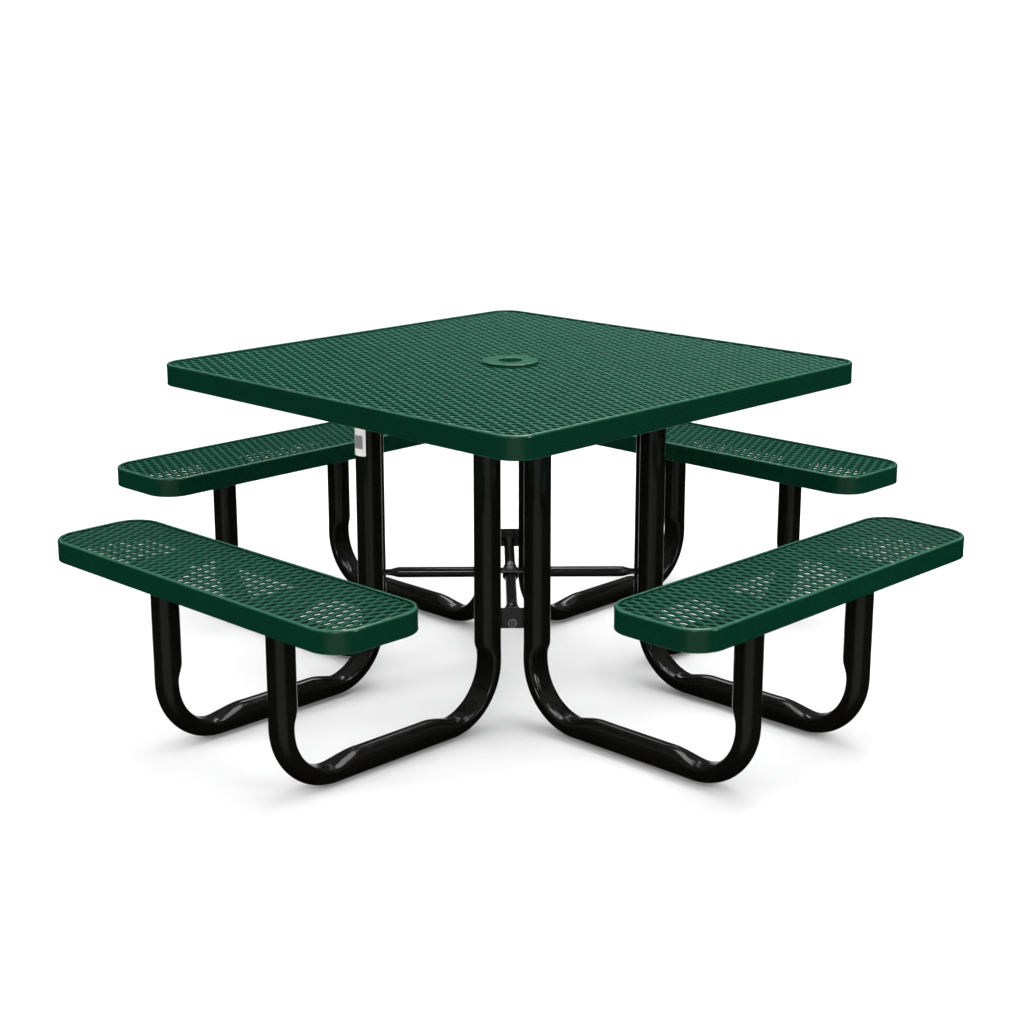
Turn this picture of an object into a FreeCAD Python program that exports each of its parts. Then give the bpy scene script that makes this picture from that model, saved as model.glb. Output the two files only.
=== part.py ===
import FreeCAD, Part
import Sketcher
import math
import os

from FreeCAD import Placement, Rotation, Vector

# Square picnic table with four bench seats on eight U-shaped legs.
# Frame: millimetres, +Z up, origin on the floor under the middle of the top,
# X and Y along the sides of the top.

os.makedirs("parts", exist_ok=True)
doc = FreeCAD.newDocument("picnic_table")

SIZES = [
    # top
    ("topSide", 1168.4, "side of the square top"),
    ("topHeight", 775.0, "floor to the top of the rim"),
    ("topRimDepth", 50.8, "height of the rim band"),
    ("topCornerRadius", 56.0, "corner of the top in plan"),
    # seats
    ("seatLength", 975.0, "length of a seat"),
    ("seatWidth", 254.0, "width of a seat"),
    ("seatHeight", 448.0, "floor to the top of a seat's rim"),
    ("seatRimDepth", 48.0, "height of a seat's rim band"),
    ("seatCornerRadius", 70.0, "corner of a seat in plan"),
    ("seatOffset", 842.0, "middle of the table to the middle of a seat"),
    # rims and expanded metal
    ("rimWall", 9.0, "thickness of the coated band"),
    ("rimOuterRound", 5.0, "rounding of the band's outer top edge"),
    ("rimInnerRound", 2.5, "rounding of the band's inner top edge"),
    ("rimLowerRound", 2.0, "rounding of the band's lower edges"),
    ("panelDrop", 4.0, "top of the rim down to the panel"),
    ("panelThickness", 5.0, "thickness of the coated expanded metal"),
    ("panelGap", 0.1, "fit of a panel inside its rim"),
    ("panelBorder", 2.5, "solid edge left round a panel"),
    ("openingPitchLong", 101.6, "long way of one diamond, for two of the sheet's own"),
    ("openingPitchShort", 46.8, "short way of one diamond, for two of the sheet's own"),
    ("strandWidth", 16.0, "width of a strand between two diamonds"),
    # support angles under the panels
    ("angleWidth", 38.0, "flat leg of a support angle"),
    ("angleHeight", 31.8, "upright leg of a support angle"),
    ("angleWall", 4.8, "thickness of a support angle"),
    # legs
    ("tubeDiameter", 60.3, "outside of a leg tube"),
    ("tubeWall", 2.8, "wall of a leg tube"),
    ("bendRadius", 127.0, "centreline radius of a leg's bends"),
    ("legOffset", 196.6, "sideways place of a leg"),
    ("tablePostOffset", 275.0, "middle of the table to a table post"),
    ("seatPostShift", 21.0, "middle of a seat out to its posts"),
    # plates welded on the posts
    ("mountLip", 1.85, "side of a mounting plate past its post"),
    ("mountEdge", 9.0, "middle of a bolt to the end of its plate"),
    ("mountThickness", 6.35, "thickness of a mounting plate"),
    ("mountChamfer", 10.0, "cut corner of a mounting plate"),
    ("boltToTube", 2.9, "between a bolt's hexagon and the post"),
    ("boltClearance", 0.5, "round a bolt in its hole"),
    # plates between neighbouring table posts
    ("cornerPlateHeight", 46.0, "height of a corner plate"),
    ("cornerPlateThickness", 6.35, "thickness of a corner plate"),
    ("cornerPlateBottom", 230.0, "floor to the bottom of a corner plate"),
    ("weldGap", 0.2, "fit of a corner plate against its tubes"),
    # crossing braces
    ("braceDiameter", 25.4, "outside of a brace tube"),
    ("braceWall", 1.65, "wall of a brace tube"),
    ("braceRise", 31.0, "bottom of a corner plate to the braces' centreline"),
    ("braceFlatWidth", 38.0, "width of a flattened brace"),
    ("braceFlatThickness", 6.5, "thickness of a flattened brace"),
    ("braceCrossing", 30.0, "half length of the flat at the crossing"),
    ("braceTaper", 32.0, "length over which the tube flattens"),
    ("braceEndFlat", 30.0, "length of the flat at each end"),
    ("braceGap", 0.1, "between the two braces at the crossing"),
    ("braceTabWidth", 36.0, "width of a brace's end tab"),
    ("braceTabTop", 5.0, "upper edge of an end tab above the tube's centreline"),
    ("braceTabRound", 8.0, "corner of a brace's end tab"),
    ("braceTabRise", 1.0, "lower edge of an end tab above the corner plate's"),
    ("braceBoltRise", 12.0, "bottom of a corner plate to its brace bolt"),
    # umbrella hub
    ("hubDiameter", 135.0, "outside of the umbrella ring"),
    ("hubThickness", 8.0, "thickness of the umbrella ring"),
    ("hubRound", 3.0, "rounding of the umbrella ring's edges"),
    ("hubBore", 55.0, "hole for the umbrella pole"),
    ("collarWall", 2.65, "wall of the pole sleeve"),
    ("collarLength", 45.0, "length of the pole sleeve"),
    ("collarGap", 0.3, "fit of the sleeve in the panel"),
    ("collarMargin", 4.0, "solid metal left round the sleeve"),
    # fasteners
    ("mountBoltDiameter", 9.5, "shank of a mounting bolt"),
    ("mountBoltEnd", 4.45, "thread of a mounting bolt past its nut"),
    ("hexAcrossFlats", 15.9, "size of the large hexagons"),
    ("hexHeadHeight", 6.4, "height of a large bolt head"),
    ("nutHeight", 8.4, "height of a nut"),
    ("threadGap", 0.1, "between a nut and its bolt"),
    ("braceBoltDiameter", 9.5, "shank of a brace bolt"),
    ("braceBoltEnd", 20.75, "thread of a brace bolt past its nut"),
    ("braceHexAcrossFlats", 14.3, "size of the small hexagons"),
    ("washerDiameter", 20.6, "outside of a washer"),
    ("washerThickness", 2.0, "thickness of a washer"),
    ("crossingBoltEnd", 4.5, "thread of the crossing bolt past its nut"),
]

# Sizes that follow from others, as formulas on the sheet.
TIED_SIZES = [
    ("seatPostOffset", "seatOffset + seatPostShift", "middle of the table to a seat post"),
    ("mountBoltSpacing", "tubeDiameter + hexAcrossFlats + 2 * boltToTube",
     "between the two bolts of a mounting plate"),
    ("mountLength", "mountBoltSpacing + 2 * mountEdge", "length of a mounting plate"),
    ("mountWidth", "tubeDiameter + 2 * mountLip", "width of a mounting plate"),
    ("braceHeight", "cornerPlateBottom + braceRise", "floor to the centreline of the braces"),
    ("braceBoltHeight", "cornerPlateBottom + braceBoltRise", "floor to a brace bolt"),
    ("mountBoltLength", "mountThickness + angleWall + nutHeight + mountBoltEnd",
     "shank length of a mounting bolt"),
    ("braceBoltLength",
     "washerThickness + cornerPlateThickness + braceFlatThickness + nutHeight + braceBoltEnd",
     "shank length of a brace bolt"),
    ("crossingBoltLength", "2 * braceFlatThickness + braceGap + nutHeight + crossingBoltEnd",
     "shank length of the bolt at the crossing"),
]

sheet = doc.addObject("Spreadsheet::Sheet", "sizes")
formulas = [(alias, f"={formula}", meaning) for alias, formula, meaning in TIED_SIZES]
for row, (alias, value, meaning) in enumerate(SIZES + formulas, start=1):
    sheet.set(f"A{row}", meaning)
    sheet.setAlias(f"B{row}", alias)
    sheet.set(f"B{row}", str(value))
doc.recompute()

# Heights and offsets that follow from the sizes, as expressions on the sheet.
TOP_PANEL = "sizes.topHeight - sizes.panelDrop"
TOP_ANGLE = f"{TOP_PANEL} - sizes.panelThickness - sizes.angleHeight"
TOP_MOUNT = f"{TOP_ANGLE} - sizes.mountThickness"
SEAT_PANEL = "sizes.seatHeight - sizes.panelDrop"
SEAT_ANGLE = f"{SEAT_PANEL} - sizes.panelThickness - sizes.angleHeight"
SEAT_MOUNT = f"{SEAT_ANGLE} - sizes.mountThickness"
PAIR_OFFSET = "(sizes.tablePostOffset + sizes.legOffset) / sqrt(2)"
PAIR_HALF = "(sizes.tablePostOffset - sizes.legOffset) / sqrt(2)"
MOUNT_HOLE = "sizes.mountBoltDiameter + 2 * sizes.boltClearance"
BRACE_HOLE = "sizes.braceBoltDiameter + 2 * sizes.boltClearance"
TAB_START = f"{PAIR_OFFSET} - sizes.cornerPlateThickness / 2 - sizes.braceFlatThickness"
SIDES = {"front": -90, "right": 0, "back": 90, "left": 180}
CORNERS = {"front_right": -45, "back_right": 45, "back_left": 135, "front_left": 225}
HANDS = {"a": -1, "b": 1}

nodes = []


def size(expression):
    """Value of an expression on the sheet, in millimetres."""
    return float(sheet.evalExpression(expression))


def place(thing, turn=0, along="0", across="0", up="0"):
    """Stand a sub-part at a place given in a frame turned about Z."""
    cosine, sine = (round(f(math.radians(turn)), 12) for f in (math.cos, math.sin))
    thing.Placement = Placement(Vector(0, 0, 0), Rotation(Vector(0, 0, 1), turn))
    thing.setExpression("Placement.Base.x", f"{cosine} * ({along}) - {sine} * ({across})")
    thing.setExpression("Placement.Base.y", f"{sine} * ({along}) + {cosine} * ({across})")
    thing.setExpression("Placement.Base.z", up)


def new_body(name):
    """A PartDesign body that becomes one node."""
    body = doc.addObject("PartDesign::Body", name)
    body.Label = name
    nodes.append(body)
    return body


def new_sketch(body, name, role="XY_Plane", height="0"):
    """A sketch on one of the body's own origin planes, at a height above it."""
    sketch = body.newObject("Sketcher::SketchObject", f"{body.Name}_{name}")
    plane = next(f for f in body.Origin.OriginFeatures if f.Role == role)
    sketch.AttachmentSupport = [(plane, "")]
    sketch.MapMode = "FlatFace"
    sketch.setExpression("AttachmentOffset.Base.z", height)
    return sketch


def bind(sketch, constraint, name, expression):
    """Add a driving constraint whose value follows the sheet."""
    index = sketch.addConstraint(constraint)
    sketch.renameConstraint(index, name)
    sketch.setExpression(f"Constraints.{name}", expression)


def chain(sketch, edges):
    """Join the end of each edge to the start of the next one, round a closed loop."""
    for edge, following in zip(edges, edges[1:] + edges[:1]):
        sketch.addConstraint(Sketcher.Constraint("Coincident", edge, 2, following, 1))


def add_polygon(sketch, points):
    """A closed outline of straight edges, with level and upright edges held so."""
    corners = [Vector(x, y, 0) for x, y in points]
    edges = []
    for start, end in zip(corners, corners[1:] + corners[:1]):
        edges.append(sketch.addGeometry(Part.LineSegment(start, end)))
        if abs(start.y - end.y) < 1e-6:
            sketch.addConstraint(Sketcher.Constraint("Horizontal", edges[-1]))
        elif abs(start.x - end.x) < 1e-6:
            sketch.addConstraint(Sketcher.Constraint("Vertical", edges[-1]))
    chain(sketch, edges)
    return edges


def add_rectangle(sketch, name, length, width):
    """A rectangle centred on the sketch's origin."""
    x, y = size(length) / 2, size(width) / 2
    edges = add_polygon(sketch, [(-x, -y), (x, -y), (x, y), (-x, y)])
    sketch.addConstraint(Sketcher.Constraint("Symmetric", edges[0], 1, edges[2], 1, -1, 1))
    bind(sketch, Sketcher.Constraint("DistanceX", edges[0], 1, edges[0], 2, 2 * x),
         f"{name}Length", length)
    bind(sketch, Sketcher.Constraint("DistanceY", edges[1], 1, edges[1], 2, 2 * y),
         f"{name}Width", width)
    return edges


def add_rounded_rectangle(sketch, name, length, width, radius):
    """A rectangle with round corners, centred on the sketch's origin."""
    x, y, r = size(length) / 2, size(width) / 2, size(radius)
    straight = [((r - x, -y), (x - r, -y)), ((x, r - y), (x, y - r)),
                ((x - r, y), (r - x, y)), ((-x, y - r), (-x, r - y))]
    centres = [(x - r, r - y), (x - r, y - r), (r - x, y - r), (r - x, r - y)]
    edges = []
    for quarter, ((start, end), centre) in enumerate(zip(straight, centres)):
        line = Part.LineSegment(Vector(*start, 0), Vector(*end, 0))
        circle = Part.Circle(Vector(*centre, 0), Vector(0, 0, 1), r)
        first = math.radians(90 * quarter - 90)
        edges.append(sketch.addGeometry(line))
        edges.append(sketch.addGeometry(Part.ArcOfCircle(circle, first, first + math.pi / 2)))
    bottom, right, top, left = edges[0::2]
    arcs = edges[1::2]
    for edge, following in zip(edges, edges[1:] + edges[:1]):
        sketch.addConstraint(Sketcher.Constraint("Tangent", edge, 2, following, 1))
    for level in (bottom, top):
        sketch.addConstraint(Sketcher.Constraint("Horizontal", level))
    for upright in (right, left):
        sketch.addConstraint(Sketcher.Constraint("Vertical", upright))
    for arc in arcs[1:]:
        sketch.addConstraint(Sketcher.Constraint("Equal", arcs[0], arc))
    sketch.addConstraint(Sketcher.Constraint("Symmetric", arcs[0], 3, arcs[2], 3, -1, 1))
    bind(sketch, Sketcher.Constraint("Radius", arcs[0], r), f"{name}Radius", radius)
    bind(sketch, Sketcher.Constraint("DistanceX", left, 1, right, 1, 2 * x),
         f"{name}Length", length)
    bind(sketch, Sketcher.Constraint("DistanceY", bottom, 1, top, 1, 2 * y),
         f"{name}Width", width)


def add_circle(sketch, name, diameter, x="0", y="0"):
    """A circle whose centre lies at signed distances from the sketch's origin."""
    centre = Vector(size(x), size(y), 0)
    circle = sketch.addGeometry(Part.Circle(centre, Vector(0, 0, 1), size(diameter) / 2))
    bind(sketch, Sketcher.Constraint("Diameter", circle, size(diameter)),
         f"{name}Diameter", diameter)
    if x == "0" and y == "0":
        sketch.addConstraint(Sketcher.Constraint("Coincident", circle, 3, -1, 1))
        return
    bind(sketch, Sketcher.Constraint("DistanceX", -1, 1, circle, 3, centre.x), f"{name}X", x)
    bind(sketch, Sketcher.Constraint("DistanceY", -1, 1, circle, 3, centre.y), f"{name}Y", y)


def pad(body, sketch, length, name="pad", symmetric=False):
    """Extrude a sketch along its normal, or both ways from its plane."""
    feature = body.newObject("PartDesign::Pad", f"{body.Name}_{name}")
    feature.Profile = sketch
    feature.SideType = "Symmetric" if symmetric else "One side"
    feature.setExpression("Length", length)
    return feature


def pocket(body, sketch, name="pocket"):
    """Cut a sketch right through the body, both ways, and check that it cut."""
    doc.recompute()
    before = body.Shape.Volume
    feature = body.newObject("PartDesign::Pocket", f"{body.Name}_{name}")
    feature.Profile = sketch
    feature.SideType = "Two sides"
    feature.Type = "ThroughAll"
    feature.Type2 = "ThroughAll"
    doc.recompute()
    if body.Shape.Volume > before - 1:
        raise RuntimeError(f"{feature.Name} cut nothing")
    return feature


def round_edges(body, wanted, radius, name):
    """Fillet the edges of the body that lie where the wanted ones do."""
    doc.recompute()
    base = body.Tip
    middles = [edge.CenterOfMass for edge in wanted]
    names = [f"Edge{number}" for number, edge in enumerate(base.Shape.Edges, start=1)
             if any(edge.CenterOfMass.distanceToPoint(middle) < 1e-4 for middle in middles)]
    feature = body.newObject("PartDesign::Fillet", f"{body.Name}_{name}")
    feature.Base = (base, names)
    feature.setExpression("Radius", radius)
    doc.recompute()


def level_face(shape, height):
    """The flat face of a shape that lies at the given height."""
    return next(face for face in shape.Faces
                if abs(face.BoundBox.ZMin - height) < 1e-4 and face.BoundBox.ZLength < 1e-4)


# --- rims and panels ------------------------------------------------------------------

def make_rim(name, length, width, depth, radius):
    """The upright band round a top or a seat, standing on its own lower edge."""
    body = new_body(name)
    outline = new_sketch(body, "outline")
    add_rounded_rectangle(outline, "outer", length, width, radius)
    add_rounded_rectangle(outline, "inner", f"{length} - 2 * sizes.rimWall",
                          f"{width} - 2 * sizes.rimWall", f"{radius} - sizes.rimWall")
    band = pad(body, outline, depth, "band")
    doc.recompute()
    top = level_face(band.Shape, size(depth))
    round_edges(body, top.OuterWire.Edges, "sizes.rimOuterRound", "outer_round")
    top = level_face(body.Shape, size(depth))
    inner = [edge for wire in top.Wires if not wire.isSame(top.OuterWire) for edge in wire.Edges]
    round_edges(body, inner, "sizes.rimInnerRound", "inner_round")
    bottom = level_face(body.Shape, 0)
    round_edges(body, bottom.Edges, "sizes.rimLowerRound", "lower_round")
    return body


def rounded_outline(length, width, radius, steps=8):
    """Points round a rectangle with round corners, anticlockwise."""
    points = []
    for quarter, (side_x, side_y) in enumerate([(1, 1), (-1, 1), (-1, -1), (1, -1)]):
        centre_x = side_x * (length / 2 - radius)
        centre_y = side_y * (width / 2 - radius)
        for step in range(steps + 1):
            angle = math.radians(90 * (quarter + step / steps))
            points.append((centre_x + radius * math.cos(angle), centre_y + radius * math.sin(angle)))
    return points


def clip(polygon, outline):
    """The part of a convex polygon inside a convex anticlockwise outline."""
    for (ax, ay), (bx, by) in zip(outline, outline[1:] + outline[:1]):
        def inside(point):
            return (bx - ax) * (point[1] - ay) - (by - ay) * (point[0] - ax)
        kept = []
        for start, end in zip(polygon, polygon[1:] + polygon[:1]):
            first, last = inside(start), inside(end)
            if first >= 0:
                kept.append(start)
            if first * last < 0:
                share = first / (first - last)
                kept.append(tuple(s + share * (e - s) for s, e in zip(start, end)))
        polygon = kept
    return polygon


def polygon_area(points):
    """Area inside a closed polygon."""
    return sum(ax * by - bx * ay for (ax, ay), (bx, by) in zip(points, points[1:] + points[:1])) / 2


def merge_close(points, nearest=0.5):
    """Leave out each point that lies almost on the one before it."""
    return [point for point, before in zip(points, points[-1:] + points[:-1])
            if math.dist(point, before) > nearest]


def diamond_openings(length, width, radius, keep_out):
    """Diamond openings of expanded metal, long way along X, cut off at a round-cornered outline."""
    long_pitch, short_pitch = size("sizes.openingPitchLong"), size("sizes.openingPitchShort")
    slope = math.atan2(short_pitch, long_pitch)
    half_long = long_pitch / 2 - size("sizes.strandWidth") / (2 * math.sin(slope))
    half_short = short_pitch / 2 - size("sizes.strandWidth") / (2 * math.cos(slope))
    least_area = half_long * half_short / 3
    border = 2 * size("sizes.panelBorder")
    outline = rounded_outline(length - border, width - border, radius - border / 2)
    openings = []
    rows = math.ceil(width / short_pitch) + 1
    columns = math.ceil(length / long_pitch / 2) + 1
    for row in range(-rows, rows + 1):
        y = row * short_pitch / 2
        for column in range(-columns, columns + 1):
            x = (column + (row % 2) / 2) * long_pitch
            if math.hypot(x, y) < keep_out + half_long:
                continue
            corners = [(x + half_long, y), (x, y + half_short), (x - half_long, y), (x, y - half_short)]
            opening = merge_close(clip(corners, outline))
            if len(opening) > 2 and polygon_area(opening) > least_area:
                openings.append(opening)
    return openings


def make_panel(name, length, width, radius, bore=0):
    """Expanded metal inside a rim, its lower face at its own Z = 0, long way along X."""
    inset = "2 * (sizes.rimWall + sizes.panelGap)"
    length, width = size(f"{length} - {inset}"), size(f"{width} - {inset}")
    radius = size(f"{radius} - sizes.rimWall - sizes.panelGap")
    outer = [Vector(x, y, 0) for x, y in rounded_outline(length, width, radius)]
    wires = [Part.makePolygon(outer + outer[:1])]
    keep_out = bore / 2 + size("sizes.collarMargin") if bore else -length
    for opening in diamond_openings(length, width, radius, keep_out):
        corners = [Vector(x, y, 0) for x, y in reversed(opening)]
        wires.append(Part.makePolygon(corners + corners[:1]))
    if bore:
        wires.append(Part.Wire(Part.Circle(Vector(0, 0, 0), Vector(0, 0, -1), bore / 2).toShape()))
    sheet_face = doc.addObject("Part::Feature", f"{name}_face")
    sheet_face.Shape = Part.Face(wires)
    panel = doc.addObject("Part::Extrusion", name)
    panel.Label = name
    panel.Base = sheet_face
    panel.DirMode = "Custom"
    panel.Dir = Vector(0, 0, 1)
    panel.Solid = True
    panel.setExpression("LengthFwd", "sizes.panelThickness")
    nodes.append(panel)
    return sheet_face


# --- support angles and mounting plates ------------------------------------------------

def make_angle(name, length, hole_places):
    """A steel angle along X: flat leg down, upright leg at its -Y edge, bolt holes in the flat leg."""
    body = new_body(name)
    profile = new_sketch(body, "profile", "YZ_Plane")
    y, wall = size("sizes.angleWidth") / 2, size("sizes.angleWall")
    height = size("sizes.angleHeight")
    points = [(-y, 0), (y, 0), (y, wall), (wall - y, wall), (wall - y, height), (-y, height)]
    edges = add_polygon(profile, points)
    foot, upright = edges[0], edges[5]
    profile.addConstraint(Sketcher.Constraint("Symmetric", foot, 1, foot, 2, -1, 1))
    bind(profile, Sketcher.Constraint("DistanceX", foot, 1, foot, 2, 2 * y),
         "width", "sizes.angleWidth")
    bind(profile, Sketcher.Constraint("DistanceY", upright, 2, upright, 1, height),
         "height", "sizes.angleHeight")
    bind(profile, Sketcher.Constraint("DistanceY", edges[1], 1, edges[1], 2, wall),
         "footWall", "sizes.angleWall")
    bind(profile, Sketcher.Constraint("DistanceX", edges[4], 2, edges[4], 1, wall),
         "uprightWall", "sizes.angleWall")
    pad(body, profile, length, "bar", symmetric=True)
    holes = new_sketch(body, "holes")
    for number, hole_place in enumerate(hole_places):
        add_circle(holes, f"hole{number}", MOUNT_HOLE, x=hole_place)
    pocket(body, holes, "bolt_holes")
    return body


def bolt_pair(middle):
    """The two bolt places along an angle for a mounting plate at the given place."""
    return [f"{middle} - sizes.mountBoltSpacing / 2", f"{middle} + sizes.mountBoltSpacing / 2"]


def make_mount(name):
    """A plate on top of a post, with cut corners and two bolt holes along X."""
    body = new_body(name)
    outline = new_sketch(body, "outline")
    add_rectangle(outline, "plate", "sizes.mountLength", "sizes.mountWidth")
    for number, hole_place in enumerate(bolt_pair("0")):
        add_circle(outline, f"hole{number}", MOUNT_HOLE, x=hole_place)
    plate = pad(body, outline, "sizes.mountThickness", "plate")
    doc.recompute()
    upright = [f"Edge{number}" for number, edge in enumerate(plate.Shape.Edges, start=1)
               if len(edge.Vertexes) == 2 and edge.Curve.TypeId == "Part::GeomLine"
               and abs(edge.tangentAt(0).z) > 0.9
               and math.hypot(edge.CenterOfMass.x, edge.CenterOfMass.y) > size("sizes.mountLength") / 2]
    cut = body.newObject("PartDesign::Chamfer", f"{name}_corners")
    cut.Base = (plate, upright)
    cut.setExpression("Size", "sizes.mountChamfer")
    return body


# --- legs ------------------------------------------------------------------------------

def make_leg(name):
    """One U-shaped tube in its own XZ plane: table post, floor run, seat post."""
    body = new_body(name)
    path = new_sketch(body, "path", "XZ_Plane")
    inner, outer = size("sizes.tablePostOffset"), size("sizes.seatPostOffset")
    bend, floor = size("sizes.bendRadius"), size("sizes.tubeDiameter") / 2
    table_top, seat_top = size(TOP_MOUNT), size(SEAT_MOUNT)
    table_post = path.addGeometry(Part.LineSegment(Vector(inner, table_top, 0),
                                                   Vector(inner, floor + bend, 0)))
    table_circle = Part.Circle(Vector(inner + bend, floor + bend, 0), Vector(0, 0, 1), bend)
    table_bend = path.addGeometry(Part.ArcOfCircle(table_circle, math.pi, 1.5 * math.pi))
    run = path.addGeometry(Part.LineSegment(Vector(inner + bend, floor, 0),
                                            Vector(outer - bend, floor, 0)))
    seat_circle = Part.Circle(Vector(outer - bend, floor + bend, 0), Vector(0, 0, 1), bend)
    seat_bend = path.addGeometry(Part.ArcOfCircle(seat_circle, 1.5 * math.pi, 2 * math.pi))
    seat_post = path.addGeometry(Part.LineSegment(Vector(outer, floor + bend, 0),
                                                  Vector(outer, seat_top, 0)))
    edges = [table_post, table_bend, run, seat_bend, seat_post]
    for edge, following in zip(edges, edges[1:]):
        path.addConstraint(Sketcher.Constraint("Tangent", edge, 2, following, 1))
    path.addConstraint(Sketcher.Constraint("Vertical", table_post))
    path.addConstraint(Sketcher.Constraint("Horizontal", run))
    path.addConstraint(Sketcher.Constraint("Vertical", seat_post))
    path.addConstraint(Sketcher.Constraint("Equal", table_bend, seat_bend))
    bind(path, Sketcher.Constraint("Radius", table_bend, bend), "bend", "sizes.bendRadius")
    bind(path, Sketcher.Constraint("DistanceX", -1, 1, table_post, 1, inner),
         "tablePost", "sizes.tablePostOffset")
    bind(path, Sketcher.Constraint("DistanceX", -1, 1, seat_post, 2, outer),
         "seatPost", "sizes.seatPostOffset")
    bind(path, Sketcher.Constraint("DistanceY", -1, 1, table_post, 1, table_top),
         "tableTop", TOP_MOUNT)
    bind(path, Sketcher.Constraint("DistanceY", -1, 1, seat_post, 2, seat_top),
         "seatTop", SEAT_MOUNT)
    bind(path, Sketcher.Constraint("DistanceY", -1, 1, run, 1, floor),
         "floorRun", "sizes.tubeDiameter / 2")
    section = new_sketch(body, "section", height=TOP_MOUNT)
    for wall_side, diameter in (("outside", "sizes.tubeDiameter"),
                                ("inside", "sizes.tubeDiameter - 2 * sizes.tubeWall")):
        add_circle(section, wall_side, diameter, x="sizes.tablePostOffset")
    tube = body.newObject("PartDesign::AdditivePipe", f"{name}_tube")
    tube.Profile = section
    tube.Spine = path
    return body


def make_corner_plate(name):
    """The plate between two neighbouring table posts, across X, with its brace bolt's hole."""
    body = new_body(name)
    outline = new_sketch(body, "outline", "YZ_Plane")
    add_rectangle(outline, "plate", f"2 * {PAIR_HALF}", "sizes.cornerPlateHeight")
    add_circle(outline, "hole", BRACE_HOLE, y="sizes.braceBoltHeight - sizes.cornerPlateBottom"
                                              " - sizes.cornerPlateHeight / 2")
    pad(body, outline, "sizes.cornerPlateThickness", "plate", symmetric=True)
    tubes = new_sketch(body, "tubes")
    for side, direction in HANDS.items():
        add_circle(tubes, f"tube_{side}", "sizes.tubeDiameter + 2 * sizes.weldGap",
                   y=f"{direction} * {PAIR_HALF}")
    pocket(body, tubes, "copes")
    return body


# --- braces ----------------------------------------------------------------------------

def add_oval(sketch, name, width, height, level):
    """An upright-centred ellipse, wide across and as high as given."""
    wide, high, centre_y = size(width) / 2, size(height) / 2, size(level)
    centre = Vector(0, centre_y, 0)
    oval = sketch.addGeometry(Part.Ellipse(Vector(wide, centre_y, 0), Vector(0, centre_y + high, 0),
                                           centre))
    sketch.exposeInternalGeometry(oval)
    major, minor = oval + 1, oval + 2
    sketch.addConstraint(Sketcher.Constraint("Horizontal", major))
    sketch.addConstraint(Sketcher.Constraint("PointOnObject", oval, 3, -2))
    bind(sketch, Sketcher.Constraint("Distance", major, 1, major, 2, 2 * wide), f"{name}Width", width)
    bind(sketch, Sketcher.Constraint("Distance", minor, 1, minor, 2, 2 * high), f"{name}Height", height)
    if level == "0":
        sketch.addConstraint(Sketcher.Constraint("PointOnObject", oval, 3, -1))
    else:
        bind(sketch, Sketcher.Constraint("DistanceY", -1, 1, oval, 3, centre_y), f"{name}Level", level)


def brace_oval(body, name, station, level):
    """A flattened cross-section of the brace at a station along it."""
    sketch = new_sketch(body, name, "YZ_Plane", station)
    add_oval(sketch, "flat", "sizes.braceFlatWidth", "sizes.braceFlatThickness", level)
    return sketch


def brace_round(body, name, station):
    """A round cross-section of the brace at a station along it."""
    sketch = new_sketch(body, name, "YZ_Plane", station)
    add_circle(sketch, "round", "sizes.braceDiameter")
    return sketch


def loft(body, first, last, name):
    """A smooth change from one cross-section to the other."""
    feature = body.newObject("PartDesign::AdditiveLoft", f"{body.Name}_{name}")
    feature.Profile = first
    feature.Sections = [last]
    feature.Ruled = True
    return feature


def brace_tab(body, name, station):
    """Outline of a brace's end tab, with its bolt hole, at a station along the brace."""
    tab = new_sketch(body, name, "YZ_Plane", station)
    top, half = "sizes.braceTabTop", "sizes.braceTabWidth / 2"
    drop = "sizes.braceHeight - sizes.cornerPlateBottom - sizes.braceTabRise"
    x, y_top, y_low = size(half), size(top), -size(drop)
    edges = add_polygon(tab, [(-x, y_low), (x, y_low), (x, y_top), (-x, y_top)])
    bind(tab, Sketcher.Constraint("DistanceX", -1, 1, edges[0], 2, x), "half", half)
    bind(tab, Sketcher.Constraint("DistanceX", edges[0], 1, edges[0], 2, 2 * x),
         "width", "sizes.braceTabWidth")
    bind(tab, Sketcher.Constraint("DistanceY", -1, 1, edges[2], 1, y_top), "top", top)
    bind(tab, Sketcher.Constraint("DistanceY", edges[0], 1, -1, 1, -y_low), "drop", drop)
    add_circle(tab, "hole", BRACE_HOLE, y="sizes.braceBoltHeight - sizes.braceHeight")
    return tab


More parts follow.
